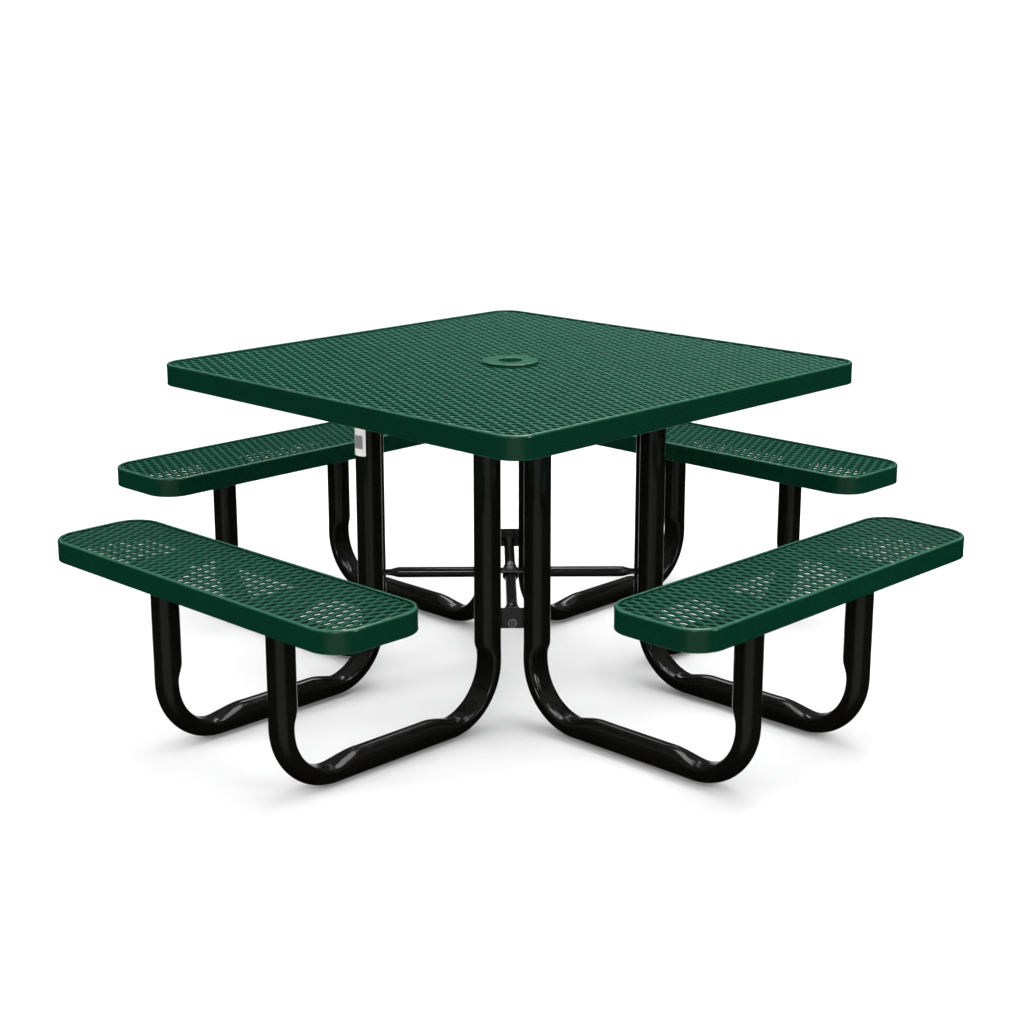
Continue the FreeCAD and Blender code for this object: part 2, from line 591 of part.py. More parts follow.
def make_brace(name, side):
    """A tube along X, flattened at the crossing and at its ends, with a tab turned down at each end."""
    body = new_body(name)
    crossing_level = f"{side} * (sizes.braceFlatThickness + sizes.braceGap) / 2"
    tube_start = "sizes.braceCrossing + sizes.braceTaper"
    flat_start = f"{TAB_START} + sizes.braceFlatThickness - sizes.braceEndFlat"
    tube_end = f"{flat_start} - sizes.braceTaper"

    middle = brace_oval(body, "middle", "0", crossing_level)
    pad(body, middle, "2 * sizes.braceCrossing", "crossing", symmetric=True)
    for end, direction in HANDS.items():
        near, start, stop, flat, tab_place = (f"{direction} * ({station})" for station in (
            "sizes.braceCrossing", tube_start, tube_end, flat_start, TAB_START))
        loft(body, brace_oval(body, f"near_flat_{end}", near, crossing_level),
             brace_round(body, f"near_round_{end}", start), f"near_taper_{end}")
        ring = new_sketch(body, f"ring_{end}", "YZ_Plane", start)
        add_circle(ring, "outside", "sizes.braceDiameter")
        add_circle(ring, "inside", "sizes.braceDiameter - 2 * sizes.braceWall")
        tube = pad(body, ring, f"{tube_end} - ({tube_start})", f"tube_{end}")
        loft(body, brace_round(body, f"far_round_{end}", stop),
             brace_oval(body, f"far_flat_{end}", flat, "0"), f"far_taper_{end}")
        flat_end = pad(body, brace_oval(body, f"flat_{end}", flat, "0"), "sizes.braceEndFlat",
                       f"flat_pad_{end}")
        tab = pad(body, brace_tab(body, f"tab_{end}", tab_place), "sizes.braceFlatThickness",
                  f"tab_pad_{end}")
        for feature in (tube, flat_end, tab):
            feature.Reversed = direction < 0
    doc.recompute()
    lowest = body.Shape.BoundBox.ZMin
    low_corners = [edge for edge in body.Shape.Edges
                   if edge.BoundBox.YLength < 1e-3 and edge.BoundBox.ZLength < 1e-3
                   and abs(edge.BoundBox.ZMin - lowest) < 1e-3]
    round_edges(body, low_corners, "sizes.braceTabRound", "tab_round")
    crossing_hole = new_sketch(body, "crossing_hole")
    add_circle(crossing_hole, "bolt", BRACE_HOLE)
    pocket(body, crossing_hole, "crossing_bolt")
    return body


# --- umbrella hub ----------------------------------------------------------------------

def make_hub_ring():
    """The flat ring on the middle of the top."""
    body = new_body("umbrella_ring")
    profile = new_sketch(body, "profile")
    add_circle(profile, "outside", "sizes.hubDiameter")
    add_circle(profile, "bore", "sizes.hubBore")
    ring = pad(body, profile, "sizes.hubThickness", "ring")
    doc.recompute()
    upper = level_face(ring.Shape, size("sizes.hubThickness"))
    round_edges(body, upper.Edges, "sizes.hubRound", "rounding")
    place(body, up=TOP_PANEL)


def make_hub_collar():
    """The sleeve under the ring that holds the umbrella pole upright."""
    outside = doc.addObject("Part::Cylinder", "collar_outside")
    outside.setExpression("Radius", "sizes.hubBore / 2 + sizes.collarWall")
    outside.setExpression("Height", "sizes.collarLength")
    inside = doc.addObject("Part::Cylinder", "collar_inside")
    inside.setExpression("Radius", "sizes.hubBore / 2")
    inside.setExpression("Height", "sizes.collarLength")
    collar = doc.addObject("Part::Cut", "umbrella_collar")
    collar.Label = "umbrella_collar"
    collar.Base = outside
    collar.Tool = inside
    place(collar, up=f"{TOP_PANEL} - sizes.collarLength")
    nodes.append(collar)


# --- fasteners -------------------------------------------------------------------------

def make_hexagon(name, across_flats, height, up="0"):
    """A hexagonal prism on Z."""
    prism = doc.addObject("Part::Prism", name)
    prism.Polygon = 6
    prism.setExpression("Circumradius", f"{across_flats} / sqrt(3)")
    prism.setExpression("Height", height)
    prism.setExpression("Placement.Base.z", up)
    return prism


def make_bolt(name, diameter, length, across_flats):
    """A hex bolt that points up: the head's bearing face is at Z = 0."""
    shank = doc.addObject("Part::Cylinder", f"{name}_shank")
    shank.setExpression("Radius", f"{diameter} / 2")
    shank.setExpression("Height", length)
    head = make_hexagon(f"{name}_head", across_flats, "sizes.hexHeadHeight", "-sizes.hexHeadHeight")
    bolt = doc.addObject("Part::Fuse", name)
    bolt.Base = head
    bolt.Tool = shank
    return bolt


def make_holed(name, blank, diameter, height):
    """A nut or washer: a blank with a hole along Z."""
    hole = doc.addObject("Part::Cylinder", f"{name}_hole")
    hole.setExpression("Radius", f"{diameter} / 2 + sizes.threadGap")
    hole.setExpression("Height", height)
    holed = doc.addObject("Part::Cut", name)
    holed.Base = blank
    holed.Tool = hole
    return holed


def make_group(name, pattern, placements):
    """One node of separate fasteners, all copies of one pattern."""
    doc.recompute()
    copies = []
    for placement in placements:
        copy = pattern.Shape.copy()
        copy.Placement = placement
        copies.append(copy)
    group = doc.addObject("Part::Feature", name)
    group.Label = name
    group.Shape = Part.makeCompound(copies)
    nodes.append(group)


def upright_places(points, height):
    """Placements of upright fasteners at plan points."""
    return [Placement(Vector(x, y, height), Rotation()) for x, y in points]


def turned(x, y, turn):
    """A plan point turned about the middle of the table."""
    cosine, sine = math.cos(math.radians(turn)), math.sin(math.radians(turn))
    return cosine * x - sine * y, sine * x + cosine * y


def mount_bolt_points(post_offset, along_seat):
    """Plan points of the bolts in the plates on all posts at one distance from the middle."""
    reach = size("sizes.mountBoltSpacing") / 2
    points = []
    for turn in SIDES.values():
        for hand in HANDS.values():
            for step in (-reach, reach):
                x = post_offset + (0 if along_seat else step)
                y = hand * size("sizes.legOffset") + (step if along_seat else 0)
                points.append(turned(x, y, turn))
    return points


def make_fasteners():
    """Bolts, nuts and washers, each kind one node."""
    mount_bolt = make_bolt("mount_bolt", "sizes.mountBoltDiameter", "sizes.mountBoltLength",
                           "sizes.hexAcrossFlats")
    mount_nut = make_holed("mount_nut", make_hexagon("mount_nut_blank", "sizes.hexAcrossFlats",
                                                     "sizes.nutHeight"),
                           "sizes.mountBoltDiameter", "sizes.nutHeight")
    table_points = mount_bolt_points(size("sizes.tablePostOffset"), along_seat=True)
    seat_points = mount_bolt_points(size("sizes.seatPostOffset"), along_seat=False)
    nut_rise = size("sizes.mountThickness + sizes.angleWall")
    make_group("mount_bolts", mount_bolt, upright_places(table_points, size(TOP_MOUNT))
               + upright_places(seat_points, size(SEAT_MOUNT)))
    make_group("mount_nuts", mount_nut, upright_places(table_points, size(TOP_MOUNT) + nut_rise)
               + upright_places(seat_points, size(SEAT_MOUNT) + nut_rise))

    brace_bolt = make_bolt("brace_bolt", "sizes.braceBoltDiameter", "sizes.braceBoltLength",
                           "sizes.braceHexAcrossFlats")
    brace_nut = make_holed("brace_nut", make_hexagon("brace_nut_blank", "sizes.braceHexAcrossFlats",
                                                     "sizes.nutHeight"),
                           "sizes.braceBoltDiameter", "sizes.nutHeight")
    disc = doc.addObject("Part::Cylinder", "brace_washer_blank")
    disc.setExpression("Radius", "sizes.washerDiameter / 2")
    disc.setExpression("Height", "sizes.washerThickness")
    brace_washer = make_holed("brace_washer", disc, "sizes.braceBoltDiameter", "sizes.washerThickness")
    plate_face = size(f"{PAIR_OFFSET} + sizes.cornerPlateThickness / 2")
    tab_face = size(TAB_START)

    def inward_places(distance):
        """Placements of fasteners that point from each corner plate to the middle."""
        places = []
        for turn in CORNERS.values():
            x, y = turned(distance, 0, turn)
            inward = Rotation(Vector(0, 0, 1), turn).multiply(Rotation(Vector(0, 1, 0), -90))
            places.append(Placement(Vector(x, y, size("sizes.braceBoltHeight")), inward))
        return places

    crossing_top = size("sizes.braceHeight + sizes.braceFlatThickness + sizes.braceGap / 2")
    crossing_bottom = size("sizes.braceHeight - sizes.braceFlatThickness - sizes.braceGap / 2")
    over = Placement(Vector(0, 0, crossing_top), Rotation(Vector(1, 0, 0), 180))
    under = Placement(Vector(0, 0, crossing_bottom), Rotation(Vector(1, 0, 0), 180))
    make_group("brace_bolts", brace_bolt, inward_places(plate_face + size("sizes.washerThickness")))
    make_group("brace_washers", brace_washer,
               inward_places(plate_face + size("sizes.washerThickness")))
    make_group("brace_nuts", brace_nut, inward_places(tab_face) + [under])
    crossing_bolt = make_bolt("crossing_shape", "sizes.braceBoltDiameter", "sizes.crossingBoltLength",
                              "sizes.braceHexAcrossFlats")
    make_group("crossing_bolt", crossing_bolt, [over])


# --- assembly --------------------------------------------------------------------------

def build_top():
    """Rim, expanded metal, four support angles and the umbrella hub."""
    rim = make_rim("top_rim", "sizes.topSide", "sizes.topSide", "sizes.topRimDepth",
                   "sizes.topCornerRadius")
    place(rim, up="sizes.topHeight - sizes.topRimDepth")
    bore = size("sizes.hubBore + 2 * sizes.collarWall + 2 * sizes.collarGap")
    panel = make_panel("top_mesh", "sizes.topSide", "sizes.topSide", "sizes.topCornerRadius", bore)
    place(panel, up=f"{TOP_PANEL} - sizes.panelThickness")
    holes = bolt_pair("-sizes.legOffset") + bolt_pair("sizes.legOffset")
    full = "sizes.topSide - 2 * sizes.rimWall"
    between = "2 * sizes.tablePostOffset - sizes.angleWidth"
    for side, turn in SIDES.items():
        length = full if side in ("front", "back") else between
        angle = make_angle(f"top_angle_{side}", length, holes)
        place(angle, turn + 90, across="-sizes.tablePostOffset", up=TOP_ANGLE)
    make_hub_ring()
    make_hub_collar()


def build_seat(side, turn):
    """One seat: rim, expanded metal and two cross angles."""
    rim = make_rim(f"seat_rim_{side}", "sizes.seatWidth", "sizes.seatLength", "sizes.seatRimDepth",
                   "sizes.seatCornerRadius")
    place(rim, turn, along="sizes.seatOffset", up="sizes.seatHeight - sizes.seatRimDepth")
    panel = make_panel(f"seat_mesh_{side}", "sizes.seatWidth", "sizes.seatLength",
                       "sizes.seatCornerRadius")
    place(panel, turn, along="sizes.seatOffset", up=f"{SEAT_PANEL} - sizes.panelThickness")
    holes = bolt_pair("sizes.seatPostOffset - sizes.seatOffset")
    for hand, direction in HANDS.items():
        angle = make_angle(f"seat_angle_{side}_{hand}", "sizes.seatWidth - 2 * sizes.rimWall", holes)
        place(angle, turn, along="sizes.seatOffset", across=f"{direction} * sizes.legOffset",
              up=SEAT_ANGLE)


def build_legs(side, turn):
    """The two U-shaped legs of one side, with the plates on their posts."""
    for hand, direction in HANDS.items():
        across = f"{direction} * sizes.legOffset"
        place(make_leg(f"leg_{side}_{hand}"), turn, across=across)
        table_mount = make_mount(f"table_mount_{side}_{hand}")
        place(table_mount, turn + 90, along=across, across="-sizes.tablePostOffset", up=TOP_MOUNT)
        place(make_mount(f"seat_mount_{side}_{hand}"), turn, along="sizes.seatPostOffset",
              across=across, up=SEAT_MOUNT)


def build_braces():
    """Corner plates and the two crossing tubes."""
    plate_level = "sizes.cornerPlateBottom + sizes.cornerPlateHeight / 2"
    for corner, turn in CORNERS.items():
        place(make_corner_plate(f"corner_plate_{corner}"), turn, along=PAIR_OFFSET, up=plate_level)
    place(make_brace("brace_upper", 1), 45, up="sizes.braceHeight")
    place(make_brace("brace_lower", -1), -45, up="sizes.braceHeight")


build_top()
for side, turn in SIDES.items():
    build_seat(side, turn)
    build_legs(side, turn)
build_braces()
make_fasteners()
doc.recompute()

for thing in doc.Objects:
    if "Invalid" in thing.State or "Error" in thing.State:
        raise RuntimeError(f"{thing.Name} failed: {thing.State}")
for node in nodes:
    if node.Shape.isNull() or not node.Shape.isValid():
        raise RuntimeError(f"{node.Label} has no valid shape")
for node in nodes:
    node.Shape.exportStep(f"parts/{node.Label}.step")
    print(node.Label, len(node.Shape.Solids), round(node.Shape.Volume / 1000, 1), "cm3")
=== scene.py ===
import math

import bmesh
import bpy
from mathutils import Matrix, Vector, noise


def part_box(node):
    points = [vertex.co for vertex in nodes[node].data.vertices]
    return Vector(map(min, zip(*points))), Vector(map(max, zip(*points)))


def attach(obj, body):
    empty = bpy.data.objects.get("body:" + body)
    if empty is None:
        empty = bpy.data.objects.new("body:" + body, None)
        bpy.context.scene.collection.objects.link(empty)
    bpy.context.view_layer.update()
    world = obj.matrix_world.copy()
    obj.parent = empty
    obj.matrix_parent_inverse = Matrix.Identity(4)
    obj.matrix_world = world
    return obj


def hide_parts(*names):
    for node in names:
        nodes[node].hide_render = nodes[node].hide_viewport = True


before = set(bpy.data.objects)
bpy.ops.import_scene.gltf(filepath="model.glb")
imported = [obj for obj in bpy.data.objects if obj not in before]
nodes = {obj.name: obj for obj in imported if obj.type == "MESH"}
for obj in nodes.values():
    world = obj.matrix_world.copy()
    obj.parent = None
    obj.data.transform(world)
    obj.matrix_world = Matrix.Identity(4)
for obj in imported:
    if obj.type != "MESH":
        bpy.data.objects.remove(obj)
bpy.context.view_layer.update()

sideNames = ["front", "right", "back", "left"]
sideTurns = {"front": -90, "right": 0, "back": 90, "left": 180}
handSigns = {"a": -1, "b": 1}
cornerTurns = (-45, 45, 135, 225)
mountNames = [f"{kind}_mount_{side}_{hand}" for side in sideNames for hand in handSigns
              for kind in ("table", "seat")]
print("frame loaded, nodes:", len(nodes))


# Camera and picture

cameraSpec = {
    "place": (2.9687, -3.0479, 1.5422),
    "aim": (0.0028, 0.0028, 0.410),
    "lens": 64.67,
    "sensor": 36.0,
}


def addObject(name, data):
    thing = bpy.data.objects.new(name, data)
    bpy.context.scene.collection.objects.link(thing)
    return thing


def aimAt(thing, place, target):
    thing.location = place
    thing.rotation_euler = (Vector(target) - Vector(place)).to_track_quat("-Z", "Y").to_euler()


def makeCamera(spec):
    data = bpy.data.cameras.new("tableCamera")
    data.lens = spec["lens"]
    data.sensor_width = spec["sensor"]
    data.clip_start = 0.05
    data.clip_end = 60.0
    camera = addObject("tableCamera", data)
    aimAt(camera, spec["place"], spec["aim"])
    bpy.context.scene.camera = camera


makeCamera(cameraSpec)
print("camera placed")


# Mesh helpers: a shell is a list of points and a list of faces

def newShell():
    return {"points": [], "faces": []}


def addRings(shell, rings, closed=False, capped=False):
    # rings of equal length, joined side by side; closed joins the last to the first
    base = len(shell["points"])
    count = len(rings[0])
    for ring in rings:
        shell["points"].extend(Vector(p) for p in ring)
    steps = len(rings) if closed else len(rings) - 1
    for i in range(steps):
        near = base + i * count
        far = base + ((i + 1) % len(rings)) * count
        for k in range(count):
            nextK = (k + 1) % count
            shell["faces"].append((near + k, near + nextK, far + nextK, far + k))
    if capped:
        shell["faces"].append(tuple(base + k for k in reversed(range(count))))
        last = base + (len(rings) - 1) * count
        shell["faces"].append(tuple(last + k for k in range(count)))


def finishPiece(name, shell, material, replaced=(), crease=40, weld=0.0):
    mesh = bpy.data.meshes.new(name)
    mesh.from_pydata([tuple(p) for p in shell["points"]], [], shell["faces"])
    work = bmesh.new()
    work.from_mesh(mesh)
    if weld:
        bmesh.ops.remove_doubles(work, verts=work.verts, dist=weld)
        bmesh.ops.dissolve_degenerate(work, dist=weld, edges=work.edges)
        loose = [v for v in work.verts if not v.link_faces]
        bmesh.ops.delete(work, geom=loose, context="VERTS")
    bmesh.ops.recalc_face_normals(work, faces=work.faces)
    work.to_mesh(mesh)
    work.free()
    mesh.update()
    mesh.shade_smooth()
    mesh.set_sharp_from_angle(angle=math.radians(crease))
    piece = addObject(name, mesh)
    mesh.materials.append(material)
    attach(piece, "root")
    if replaced:
        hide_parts(*replaced)


def arc(middleA, middleB, radius, start, stop, steps):
    # points on an arc, in degrees, both ends included
    points = []
    for i in range(steps + 1):
        angle = math.radians(start + (stop - start) * i / steps)
        points.append((middleA + radius * math.cos(angle), middleB + radius * math.sin(angle)))
    return points


def turns(steps):
    # the angles of equal steps round a circle
    return [2 * math.pi * k / steps for k in range(steps)]


def circle(steps):
    # the (cosine, sine) pairs of those angles
    return [(math.cos(angle), math.sin(angle)) for angle in turns(steps)]


def spinZ(degrees):
    return Matrix.Rotation(math.radians(degrees), 4, "Z")


def smooth(low, high, value):
    t = min(max((value - low) / (high - low), 0.0), 1.0)
    return t * t * (3 - 2 * t)


def roundedOutline(halfX, halfY, radius, arcSteps, runStep):
    # (point, outward normal) pairs round a rounded rectangle
    outline = []
    corners = [(1, 1, 0), (-1, 1, 90), (-1, -1, 180), (1, -1, 270)]
    for index, (signX, signY, start) in enumerate(corners):
        middle = Vector((signX * (halfX - radius), signY * (halfY - radius)))
        for i in range(arcSteps + 1):
            angle = math.radians(start + 90 * i / arcSteps)
            normal = Vector((math.cos(angle), math.sin(angle)))
            outline.append((middle + radius * normal, normal))
        lastPoint, lastNormal = outline[-1]
        nextX, nextY, _ = corners[(index + 1) % 4]
        target = Vector((nextX * (halfX - radius), nextY * (halfY - radius))) + radius * lastNormal
        run = (target - lastPoint).length
        pieces = max(int(run / runStep), 1)
        for i in range(1, pieces):
            outline.append((lastPoint.lerp(target, i / pieces), lastNormal.copy()))
    return outline


def boxMiddle(name):
    low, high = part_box(name)
    return [(low[i] + high[i]) / 2 for i in range(3)]


def boxSize(name):
    low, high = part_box(name)
    return [high[i] - low[i] for i in range(3)]


# Shader helpers

def setInputs(node, inputs):
    for socket, value in inputs.items():
        node.inputs[socket].default_value = value


def addNode(tree, kind, place, inputs=None, **values):
    node = tree.nodes.new(kind if kind.startswith("NodeGroup") else "ShaderNode" + kind)
    node.location = place
    for key, value in values.items():
        setattr(node, key, value)
    setInputs(node, inputs or {})
    return node


def addMath(tree, operation, place):
    return addNode(tree, "Math", place, operation=operation)


def joinAll(tree, joins):
    # each join is (from node, its output, to node, its input)
    for source, output, target, socket in joins:
        tree.links.new(source.outputs[output], target.inputs[socket])


toneColors = ["Base", "Cloud", "Edge", "Dust"]
toneAmounts = ["Cloud Amount", "Edge Amount", "Dust Amount", "Dust Cover", "Up Start"]
rippleSizes = ["Wave Size", "Grain Size", "Grain Share"]


def addSockets(group, direction, kind, names):
    for name in names:
        group.interface.new_socket(name, in_out=direction, socket_type="NodeSocket" + kind)


def makeRippleGroup():
    # long soft waves and a fine grain of a sprayed or dipped coat, as one height
    group = bpy.data.node_groups.new("coatRipple", "ShaderNodeTree")
    addSockets(group, "INPUT", "Float", rippleSizes)
    addSockets(group, "OUTPUT", "Float", ["Height"])
    start = addNode(group, "NodeGroupInput", (-800, 0))
    end = addNode(group, "NodeGroupOutput", (400, 0))
    coords = addNode(group, "TexCoord", (-800, 300))
    wave = addNode(group, "TexNoise", (-500, 200), {"Detail": 2.0})
    grain = addNode(group, "TexNoise", (-500, -100), {"Detail": 3.0})
    share = addMath(group, "MULTIPLY", (-200, -100))
    total = addMath(group, "ADD", (100, 50))
    joinAll(group, [
        (coords, "Object", wave, "Vector"),
        (coords, "Object", grain, "Vector"),
        (start, "Wave Size", wave, "Scale"),
        (start, "Grain Size", grain, "Scale"),
        (grain, "Fac", share, 0),
        (start, "Grain Share", share, 1),
        (wave, "Fac", total, 0),
        (share, 0, total, 1),
        (total, 0, end, "Height"),
    ])
    return group


def makeToneGroup():
    # cloudy change of tone; proud edges lighter, a painted highlight; faces that look up lighter
    # with settled specks, and on the green coats an even painted highlight
    group = bpy.data.node_groups.new("toneAndDust", "ShaderNodeTree")
    addSockets(group, "INPUT", "Color", toneColors)
    addSockets(group, "INPUT", "Float", toneAmounts)
    addSockets(group, "OUTPUT", "Color", ["Color"])
    addSockets(group, "OUTPUT", "Float", ["Dust Mask"])
    start = addNode(group, "NodeGroupInput", (-1200, 0))
    end = addNode(group, "NodeGroupOutput", (700, 0))
    coords = addNode(group, "TexCoord", (-1200, 400))
    geometry = addNode(group, "NewGeometry", (-1200, -400))
    cloud = addNode(group, "TexNoise", (-900, 400), {"Scale": 7.0, "Detail": 4.0})
    cloudRamp = addNode(group, "MapRange", (-650, 400), {"From Min": 0.35, "From Max": 0.68})
    cloudShare = addMath(group, "MULTIPLY", (-400, 400))
    # proud edges found by pointiness and lightened: a painted highlight
    edgeRamp = addNode(group, "MapRange", (-650, 0), {"From Min": 0.52, "From Max": 0.60})
    edgeShare = addMath(group, "MULTIPLY", (-400, 0))
    split = addNode(group, "SeparateXYZ", (-950, -400))
    # faces that look up are lightened: specks through the speck mask, and where the cover is set an
    # even painted highlight
    upward = addNode(group, "MapRange", (-750, -400), {"From Max": 1.0})
    speck = addNode(group, "TexNoise", (-950, -700), {"Scale": 60.0, "Detail": 5.0})
    speckRamp = addNode(group, "MapRange", (-700, -700), {"From Min": 0.42, "From Max": 0.72})
    covered = addMath(group, "MAXIMUM", (-550, -700))
    upwardCovered = addMath(group, "MULTIPLY", (-400, -500))
    dustAndHighlightShare = addMath(group, "MULTIPLY", (-250, -450))
    mixCloud = addNode(group, "Mix", (-100, 200), data_type="RGBA")
    mixEdge = addNode(group, "Mix", (150, 100), data_type="RGBA")
    mixDustAndHighlight = addNode(group, "Mix", (400, 0), data_type="RGBA")
    joinAll(group, [
        (coords, "Object", cloud, "Vector"),
        (coords, "Object", speck, "Vector"),
        (cloud, "Fac", cloudRamp, "Value"),
        (cloudRamp, "Result", cloudShare, 0),
        (start, "Cloud Amount", cloudShare, 1),
        (geometry, "Pointiness", edgeRamp, "Value"),
        (edgeRamp, "Result", edgeShare, 0),
        (start, "Edge Amount", edgeShare, 1),
        (geometry, "Normal", split, 0),
        (split, "Z", upward, "Value"),
        (start, "Up Start", upward, "From Min"),
        (speck, "Fac", speckRamp, "Value"),
        (speckRamp, "Result", covered, 0),
        (start, "Dust Cover", covered, 1),
        (upward, "Result", upwardCovered, 0),
        (covered, 0, upwardCovered, 1),
        (upwardCovered, 0, dustAndHighlightShare, 0),
        (start, "Dust Amount", dustAndHighlightShare, 1),
        (cloudShare, 0, mixCloud, "Factor"),
        (start, "Base", mixCloud, "A"),
        (start, "Cloud", mixCloud, "B"),
        (edgeShare, 0, mixEdge, "Factor"),
        (mixCloud, "Result", mixEdge, "A"),
        (start, "Edge", mixEdge, "B"),
        (dustAndHighlightShare, 0, mixDustAndHighlight, "Factor"),
        (mixEdge, "Result", mixDustAndHighlight, "A"),
        (start, "Dust", mixDustAndHighlight, "B"),
        (mixDustAndHighlight, "Result", end, "Color"),
        (dustAndHighlightShare, 0, end, "Dust Mask"),
    ])
    return group


rippleGroup = makeRippleGroup()
toneGroup = makeToneGroup()

coatDefaults = {
    "metallic": 0.0,
    "gloss": 0.5,
    "cloudAmount": 0.6,
    "bumpDepth": 0.0004,
    "dustCover": 0.0,  # how much of an upward face is lightened whatever the specks say, an even painted highlight
    "dustDull": 0.5,
    "upStart": 0.55,
    "wearSize": 30.0,
}


def keyOf(socket):
    # "Cloud Amount" is cloudAmount in a coat's dictionary
    return socket[0].lower() + socket[1:].replace(" ", "")


def makeCoat(name, ownSpec):
    # a coated metal: toned colour with painted highlights on edges and upward faces, roughness that
    # follows a noise and the speck and highlight mask, rippled surface
    spec = dict(coatDefaults, **ownSpec)
    material = bpy.data.materials.new(name)
    material.use_nodes = True
    tree = material.node_tree
    shader = tree.nodes["Principled BSDF"]
    setInputs(shader, {"Specular IOR Level": spec["gloss"], "Metallic": spec["metallic"]})
    tone = addNode(tree, "Group", (-500, 200), node_tree=toneGroup)
    setInputs(tone, {socket: spec[keyOf(socket)] for socket in toneAmounts})
    setInputs(tone, {socket: spec[keyOf(socket)] + (1.0,) for socket in toneColors})
    ripple = addNode(tree, "Group", (-700, -300), node_tree=rippleGroup)
    setInputs(ripple, {socket: spec[keyOf(socket)] for socket in rippleSizes})
    bump = addNode(tree, "Bump", (-300, -300),
                   {"Strength": spec["bumpStrength"], "Distance": spec["bumpDepth"]})
    coords = addNode(tree, "TexCoord", (-1100, 0))
    wear = addNode(tree, "TexNoise", (-900, 0),
                   {"Scale": spec["wearSize"], "Detail": 4.0})
    smoothest, roughest = spec["roughness"]
    wearRange = addNode(tree, "MapRange", (-700, 0), {
        "From Min": 0.3,
        "From Max": 0.7,
        "To Min": smoothest,
        "To Max": roughest,
    })
    dullUnderMask = addNode(tree, "Math", (-300, 0), {1: spec["dustDull"]},
                    operation="MULTIPLY_ADD", use_clamp=True)
    joinAll(tree, [
        (coords, "Object", wear, "Vector"),
        (wear, "Fac", wearRange, "Value"),
        (tone, "Dust Mask", dullUnderMask, 0),
        (wearRange, "Result", dullUnderMask, 2),
        (dullUnderMask, 0, shader, "Roughness"),
        (tone, "Color", shader, "Base Color"),
        (ripple, "Height", bump, "Height"),
        (bump, "Normal", shader, "Normal"),
    ])
    return material


# the edge and upward colours of this coat are painted highlights, a light line along the bead tops
greenRimCoat = makeCoat("greenRimCoat", {
    "base": (0.0003, 0.0205, 0.0104),
    "cloud": (0.0006, 0.0235, 0.0124),
    "edge": (0.015, 0.120, 0.075),
    "dust": (0.090, 0.300, 0.210),
    "edgeAmount": 0.70,
    "dustAmount": 0.68,
    "dustCover": 0.5,
    "dustDull": 0.05,
    "upStart": 0.38,
    "gloss": 0.42,
    "roughness": (0.13, 0.21),
    "waveSize": 42.0,
    "grainSize": 260.0,
    "grainShare": 0.06,
    "bumpStrength": 0.12,
})

# the edge and upward colours of the strand coats are painted highlights, light lines along the
# strand ridges
strandSpec = {
    "base": (0.0007, 0.0285, 0.0160),
    "cloud": (0.0011, 0.0330, 0.0190),
    "edge": (0.045, 0.220, 0.150),
    "dust": (0.090, 0.340, 0.240),
    "edgeAmount": 0.60,
    "dustAmount": 0.58,
    "dustCover": 0.65,
    "dustDull": 0.05,
    "upStart": 0.90,
    "gloss": 0.09,
    "roughness": (0.24, 0.34),
    "waveSize": 80.0,
    "grainSize": 300.0,
    "grainShare": 0.10,
    "bumpStrength": 0.25,
}
greenStrandCoat = makeCoat("greenStrandCoat", strandSpec)
seatStrandSpec = dict(strandSpec, dustAmount=0.26, edgeAmount=0.35)
greenSeatStrandCoat = makeCoat("greenSeatStrandCoat", seatStrandSpec)

blackPowderCoat = makeCoat("blackPowderCoat", {
    "base": (0.0024, 0.0024, 0.0020),
    "cloud": (0.0040, 0.0040, 0.0036),
    "edge": (0.030, 0.030, 0.029),
    "dust": (0.060, 0.060, 0.056),
    "cloudAmount": 0.5,
    "edgeAmount": 0.30,
    "dustAmount": 0.10,
    "roughness": (0.09, 0.19),
    "waveSize": 60.0,
    "grainSize": 700.0,
    "grainShare": 0.12,
    "bumpStrength": 0.20,
    "bumpDepth": 0.00025,
})

zincSpec = {
    "base": (0.42, 0.42, 0.41),
    "cloud": (0.30, 0.31, 0.32),
    "edge": (0.62, 0.62, 0.60),
    "dust": (0.25, 0.24, 0.22),
    "cloudAmount": 0.7,
    "edgeAmount": 0.5,
    "dustAmount": 0.15,
    "metallic": 0.9,
    "roughness": (0.28, 0.48),
    "waveSize": 160.0,
    "grainSize": 1400.0,
    "grainShare": 0.4,
    "bumpStrength": 0.3,
    "bumpDepth": 0.0006,
}
darkZincSpec = dict(
    zincSpec,
    base=(0.060, 0.060, 0.058),
    cloud=(0.095, 0.095, 0.092),
    edge=(0.50, 0.50, 0.48),
    dust=(0.16, 0.15, 0.14),
    edgeAmount=0.06,
    metallic=0.8,
    roughness=(0.25, 0.42),
)
zincPlate = makeCoat("zincPlate", zincSpec)
darkZinc = makeCoat("darkZinc", darkZincSpec)

paperSpec = {
    "base": (0.78, 0.78, 0.77),
    "cloud": (0.70, 0.70, 0.68),
    "edge": (0.82, 0.82, 0.80),
    "dust": (0.60, 0.59, 0.56),
    "cloudAmount": 0.5,
    "edgeAmount": 0.2,
    "dustAmount": 0.1,
    "gloss": 0.4,
    "roughness": (0.35, 0.5),
    "waveSize": 120.0,
    "grainSize": 1500.0,
    "grainShare": 0.3,
    "bumpStrength": 0.1,
    "bumpDepth": 0.0003,
}
panelSpec = dict(
    paperSpec,
    base=(0.18, 0.18, 0.18),
    cloud=(0.26, 0.26, 0.26),
    edge=(0.30, 0.30, 0.30),
    dust=(0.40, 0.40, 0.38),
    cloudAmount=0.7,
)
labelPaper = makeCoat("labelPaper", paperSpec)
labelPanel = makeCoat("labelPanel", panelSpec)
print("materials made")


# Rims: a coated band with a full top bead and a small round along its lower edge

